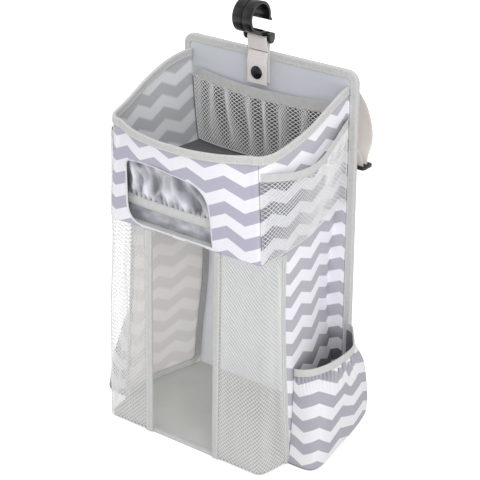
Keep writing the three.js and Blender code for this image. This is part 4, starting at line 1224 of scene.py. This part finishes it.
def pouch_at(share, rise):
    """Plan place round a pouch, share 0 at the panel and 1 at the front seam."""
    z = lerp(pouch_foot, pouch_top_at(0.5) - pouch_tape, rise)
    reach = lerp(pouch_low_reach, pouch_high_reach, rise ** 3) + pouch_belly * math.sin(math.pi * rise)
    power = 2 / lerp(pouch_square, pouch_oval, ease(rise, 0.2, 1.0))
    across = pouch_forward_at(share, power)
    front_y = lerp(pouch_low_front_y, pouch_high_front_y, z / pouch_front_top)
    seam_x = side_x_at(front_y, z) + cloth_thick + gap
    drawn = pouch_pinch * ease(rise, 0.7, 1.0) * math.sin(math.pi * min(share / 0.45, 1.0)) ** 2
    out = reach * max(math.sin(math.pi * share), 0.0) ** power - drawn * 0.8
    return lerp(pouch_rear_x, seam_x, across) + out, lerp(pouch_rear_y, front_y, across) - drawn * 0.3


def gather_at(share, side):
    """The waves that the elastic draws into the bag's mouth, each a little different."""
    uneven = 2.2 * rumple(share * 100, 0, 14, 21.0 * side)
    return math.sin(share * 165 + uneven) * (0.75 + 0.6 * rumple(share * 100, 5, 7, 33.0 * side))


def pouch_share(even):
    """Slows the steps at the square corners of the bag, which are then as fine as the rest."""
    return even - 0.055 * math.sin(4 * math.pi * even)


pouch_print = printed("printed_cloth_pouch", seen(227, 226, 229), seen(162, 160, 170), shift=(0.0154, 0.0203),
                      drawn_in=0.87)
pouch_inside = plain_cloth("silver_lining", seen(96, 97, 101), seen(126, 128, 132),
                           pitch=0.0006, depth=0.00004, Roughness=0.4, Sheen_Weight=0.2)
pouch_cols, pouch_rows, turned_in = 230, 64, 14

for hand, side in HANDS:

    def pouch_place(share, rise):
        x, y = pouch_at(share, rise)
        z = lerp(pouch_foot_at(share), pouch_top_at(share) - pouch_tape - gap, rise)
        free = min(math.sin(math.pi * share) * 2.5, 1.0)
        below = pouch_top_at(share) - pouch_tape - gap - z
        depth = 2.1 * min(below / 3 + 0.12, 1.0) * math.exp(-below / 10)
        gather = gather_at(share + 0.0004 * below, side) * depth * lerp(0.6, 1.0, ease(share, 0.25, 0.6))
        soft = 0.9 * rumple(share * 150, z, 30, 23.0 * side) * math.sin(math.pi * rise) ** 0.6
        out = (gather + soft) * free
        turn = math.pi * share
        return side * (x + out * math.sin(turn)), y + out * math.cos(turn), z

    rows = []
    seam = [pouch_place(pouch_share(c / pouch_cols), 0.0) for c in range(pouch_cols + 1)]
    for r in range(turned_in):
        out = ease(r / turned_in) ** 0.5
        rows.append([(lerp(side * (side_x_at(y, z) + 0.5), x, out), y, z) for x, y, z in seam])
    rows += [[pouch_place(pouch_share(c / pouch_cols), r / pouch_rows) for c in range(pouch_cols + 1)]
             for r in range(pouch_rows + 1)]
    around = unrolled([rows[turned_in + pouch_rows // 2]])[0]
    flats = [[(around[-1][0] - along, z - 3.0 * max(turned_in - r, 0))
              for (along, _), (_, _, z) in zip(around, row)] for r, row in enumerate(rows)]
    pouch = sheet_from(f"bottle_pouch_cloth_{hand}", rows, flats, turned=side > 0)
    dress(pouch, pouch_print, pouch_inside)
    # Painted shade in the valleys of the gathers just below the pouch's mouth.
    pleat_shade = [max(-gather_at(pouch_share(c / pouch_cols), side), 0.0) * ease(r / pouch_rows, 0.84, 1.0)
              for r in range(-turned_in, pouch_rows + 1) for c in range(pouch_cols + 1)]
    marked(pouch, "painted_shade", pleat_shade)
    fasten(thicken(pouch, cloth_thick), "printed_cloth", f"bottle_pouch_{hand}")

    def pouch_tape_place(share, up):
        share = pouch_share(share)
        x, y = pouch_at(share, 1.0)
        wave = 0.3 * gather_at(share, side) * (1 - up) * min(math.sin(math.pi * share) * 2.5, 1.0)
        turn = math.pi * share
        z = pouch_top_at(share) - pouch_tape * (1 - up)
        return side * (x + wave * math.sin(turn)), y + wave * math.cos(turn), z

    mouth_rows = spread(6, 170, pouch_tape_place)
    pouch_mouth = dress(sheet_from(f"pouch_mouth_tape_{hand}", mouth_rows, turned=side > 0), elastic)
    fasten(thicken(pouch_mouth, cloth_thick), "elastic", f"pouch_elastic_{hand}")

# Centre strap: one webbing sewn to the panel, passed round the hook's bar, and closed on itself
# by a snap. It is woven in a fine herringbone.

web_thick, web_wide, strap_x = 1.6, 28.0, -10.0
leg_y, leg_foot, flap_y = 77.7, 403.0, 72.5
fold_axis, bar_axis = (76.0, 443.2), (76.0, 456.0)
knuckle, bar_bend = 1.8, 3.4
snap_z, snap_radius = 415.0, 2.1


def webbing(name, pale, deep):
    """Herringbone webbing, with threads that lean to and fro across its width."""
    finish = Finish(name, Roughness=0.85, Sheen_Weight=0.2)
    along, across = finish.along_cloth()
    lean = ((across / 0.005).math("FRACT") - 0.5).math("ABSOLUTE") * 0.004
    twill = finish.ridges(along + lean, 0.0021)
    finish.vary(Base_Color=finish.mix(finish.mottle(0.002, 4.0) * 0.5 + twill * 0.35 + 0.25, deep, pale))
    finish.relief(twill * 0.8 + finish.mottle(0.0012) * 0.6, 0.00016)
    return finish


def web_strip(name, path, centre_x, ring=False):
    """A length of webbing along a path in Y and Z, with softly rounded selvedges."""
    half, flat = web_wide / 2, web_thick / 2
    top = [(lerp(-half + 0.8, half - 0.8, i / 8), flat) for i in range(9)]
    selvedge = [(half - 0.25, flat * 0.75), (half, 0.0), (half - 0.25, -flat * 0.75)]
    profile = top + selvedge + [(a, -b) for a, b in reversed(top)] + [(-a, -b) for a, b in selvedge]
    stations = []
    for i, (y, z) in enumerate(path):
        before = path[i - 1] if ring or i else path[0]
        after = path[(i + 1) % len(path)] if ring or i + 1 < len(path) else path[-1]
        along = Vector((0, after[0] - before[0], after[1] - before[1])).normalized()
        stations.append(((centre_x, y, z), (1, 0, 0), (0, -along.z, along.y)))
    return swept(name, stations, profile, ring)


def snap_hole(piece, y):
    """Punches the snap's hole through the webbing at a place in Y."""
    return cut_through(piece, bend((strap_x, snap_z), snap_radius, 0, 360, 48)[:-1], y - 2, y + 2)


strap_web = webbing("strap_webbing", seen(250, 246, 244), seen(204, 197, 195))
leg_top = fold_axis[1] - 2.6 - gap
leg_line = [(leg_y, lerp(leg_foot, leg_top, i / 24)) for i in range(25)]
strap_leg = dress(web_strip("strap_leg_webbing", leg_line, strap_x), strap_web)
snap_hole(strap_leg, leg_y)
fasten(strap_leg, "webbing", "strap_sewn_leg")

flap_low, flap_high = snap_z + 11.0, leg_top - 7
flap_line = [(flap_y, lerp(leg_foot - 1, flap_low, i / 20)) for i in range(21)]
flap_line += [(lerp(flap_y, flap_y + 0.9, ease(i / 6)), lerp(flap_low, flap_high, i / 6))
              for i in range(1, 7)]
flap_line += straight((flap_y + 0.9, flap_high), (leg_y - 3.1, leg_top - 0.4), 5)
strap_flap = dress(web_strip("strap_flap_webbing", flap_line, strap_x), strap_web)
snap_hole(strap_flap, flap_y)
fasten(strap_flap, "webbing", "strap_flap", body="flap")

loop_line = bend(bar_axis, bar_bend, 0, 180, 16)
loop_line += straight(loop_line[-1], (fold_axis[0] - knuckle, fold_axis[1]), 6)[:-1]
loop_line += bend(fold_axis, knuckle, 180, 360, 12)
loop_line += straight(loop_line[-1], loop_line[0], 6)[:-1]
strap_loop = dress(web_strip("strap_loop_webbing", loop_line, strap_x, ring=True), strap_web)
fasten(strap_loop, "webbing", "strap_loop", body="strap_loop")

# Snap fastener, hook and adjusters: moulded near-black plastic with softened edges.

black = Finish("black_plastic", Roughness=0.3, Specular_IOR_Level=0.42)
black.shade(0.02, seen(15, 15, 16), seen(26, 26, 28))
black.vary(Roughness=black.mottle(0.01) * 0.12 + 0.17)
black.relief(black.mottle(0.0007, 3.0), 0.00002)


def softened(name, node, body, edge):
    """A copy of a moulded piece with its sharp edges rounded."""
    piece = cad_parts[node].copy()
    piece.data = piece.data.copy()
    piece.name = name
    bpy.context.scene.collection.objects.link(piece)
    worked(piece, bpy.ops.mesh.remove_doubles, threshold=0.01 * MM)
    bpy.ops.object.transform_apply()
    piece.data.materials.clear()
    dress(piece, black)
    change(piece, "BEVEL", width=edge * MM, segments=3, limit_method="ANGLE", angle_limit=math.radians(40),
           use_clamp_overlap=True)
    return fasten(piece, "black_plastic", node, body=body)


for node, body, edge in (
    ("snap_cap", "flap", 0.3), ("snap_socket", "flap", 0.2), ("snap_stud", "root", 0.2),
    ("snap_post", "root", 0.15), ("hanging_hook", "hook", 0.7),
    ("strap_adjuster_right", "adjuster_right", 0.8), ("strap_adjuster_left", "adjuster_left", 0.8),
):
    softened(f"{node}_moulding", node, body, edge)

# Rear loops: webbing sewn to the panel at both ends, which stands off it in a rounded eye and
# runs through the slots of its adjuster.

loop_reach, loop_top, loop_landing, loop_end, loop_x = 49.6, 430.5, 357.0, 374.0, 94.0
adjuster_y, adjuster_z, adjuster_thick, slot_wide, bar_wide = 122.6, 312.6, 4.0, 4.6, 3.6
loop_back = binding_back + gap + web_thick / 2


def through(places, count):
    """A smooth line through places, with an even number of points between each two."""
    line = []
    for i in range(len(places) - 1):
        a, b, c, d = (Vector(places[min(max(k, 0), len(places) - 1)]) for k in range(i - 1, i + 3))
        for step in range(count):
            t = step / count
            line.append(tuple(0.5 * (2 * b + (c - a) * t + (2 * a - 5 * b + 4 * c - d) * t ** 2
                                     + (3 * b - a - 3 * c + d) * t ** 3)))
    return line + [tuple(places[-1])]


under = adjuster_z - adjuster_thick / 2 - 1.2
slot_step = (bar_wide + slot_wide) / 2
rear_slot, front_slot = adjuster_y + slot_step, adjuster_y - slot_step
falling = [(loop_back + out * loop_reach, lerp(loop_top, adjuster_z, down)) for out, down in (
    (0, 0.02), (0.02, 0.047), (0.2, 0.12), (0.48, 0.24), (0.77, 0.41), (0.97, 0.62), (1, 0.785))]
falling += [(rear_slot + 2.4, adjuster_z + 12.4), (rear_slot, adjuster_z + 3),
            (rear_slot - 0.4, adjuster_z - 1)]
rising = [(front_slot + 0.4, adjuster_z - 1), (front_slot, adjuster_z + 3)]
rising += [(lerp(front_slot, loop_back, inwards), lerp(adjuster_z, loop_landing, up)) for inwards, up in (
    (0.15, 0.35), (0.51, 0.69), (0.96, 0.93), (1, 1))]
turn_under = [(rear_slot - 1.6, under - 0.8), (adjuster_y, under - 1.6), (front_slot + 1.6, under - 0.8)]
loop_path = [(loop_back, loop_top), *through(falling, 7), *turn_under, *through(rising, 7),
             (loop_back, loop_end)]
loop_path = [(max(y, loop_back), z) for y, z in loop_path]
# Painted light: the rear loops take their own copy of the webbing, in colours set to make up for their side
# that faces away from the lamps.
rear_web = webbing("rear_webbing", seen(236, 230, 225), seen(208, 201, 196))
for hand, side in HANDS:
    rear_loop = dress(web_strip(f"rear_loop_webbing_{hand}", loop_path, side * loop_x), rear_web)
    fasten(rear_loop, "webbing", f"rear_loop_{hand}")

# Photographic set: a pale floor, soft studio lamps, a white surround behind the object and the
# camera at the photograph's place.

bpy.ops.mesh.primitive_plane_add(size=6.0, location=(0, 0, 0))
floor = bpy.context.object
floor.name = "studio_floor"
floor_finish = Finish("studio_floor", Roughness=0.9, Emission_Strength=1.0)
floor_finish.shader.inputs["Base Color"].default_value = seen(232, 232, 232)
looked_at = floor_finish.seen_by("Is Camera Ray", "Is Glossy Ray", "Is Transmission Ray")
floor_finish.vary(Emission_Color=floor_finish.mix(looked_at, (0.0, 0.0, 0.0, 1.0), (0.6, 0.6, 0.6, 1.0)))
floor.data.materials.append(floor_finish.material)

world = bpy.data.worlds.new("studio")
bpy.context.scene.world = world
world.use_nodes = True
sky = Nodes(world.node_tree)
white_light = (1.0, 1.0, 1.0, 1.0)
lit = sky.tree.nodes["Background"]
sky.plug(lit.inputs["Color"], white_light)
sky.plug(lit.inputs["Strength"], 0.72)
white = sky.node("Background", {}, white_light, 1.0)
looked_through = sky.seen_by("Is Camera Ray", "Is Transmission Ray")
blend = sky.node("MixShader", {}, looked_through, Link(sky, lit.outputs[0]), white)
sky.plug(sky.tree.nodes["World Output"].inputs[0], blend)

scene = bpy.context.scene
scene.view_settings.view_transform = "Standard"
camera_data = bpy.data.cameras.new("camera")
camera = bpy.data.objects.new("camera", camera_data)
scene.collection.objects.link(camera)
scene.camera = camera
camera.location = (1.0277, -1.3114, 1.0146)
camera.rotation_euler = Vector((-0.5513, 0.7184, -0.4242)).to_track_quat("-Z", "Y").to_euler()
camera_data.sensor_width = 36.0
camera_data.lens = 120.1

for name, place, size, power in (("key", (1.2, -1.35, 1.7), 1.2, 11.5), ("fill", (-1.6, -1.0, 1.1), 1.4, 3.0),
                                 ("low", (1.5, -1.3, 0.55), 1.2, 10.0), ("top", (0.0, 0.2, 2.0), 1.4, 8.0)):
    lamp_data = bpy.data.lights.new(name, "AREA")
    lamp_data.size = size
    lamp_data.energy = power
    lamp = bpy.data.objects.new(name, lamp_data)
    lamp.location = place
    lamp.rotation_euler = (Vector((0, 0, 0.25)) - Vector(place)).to_track_quat("-Z", "Y").to_euler()
    scene.collection.objects.link(lamp)
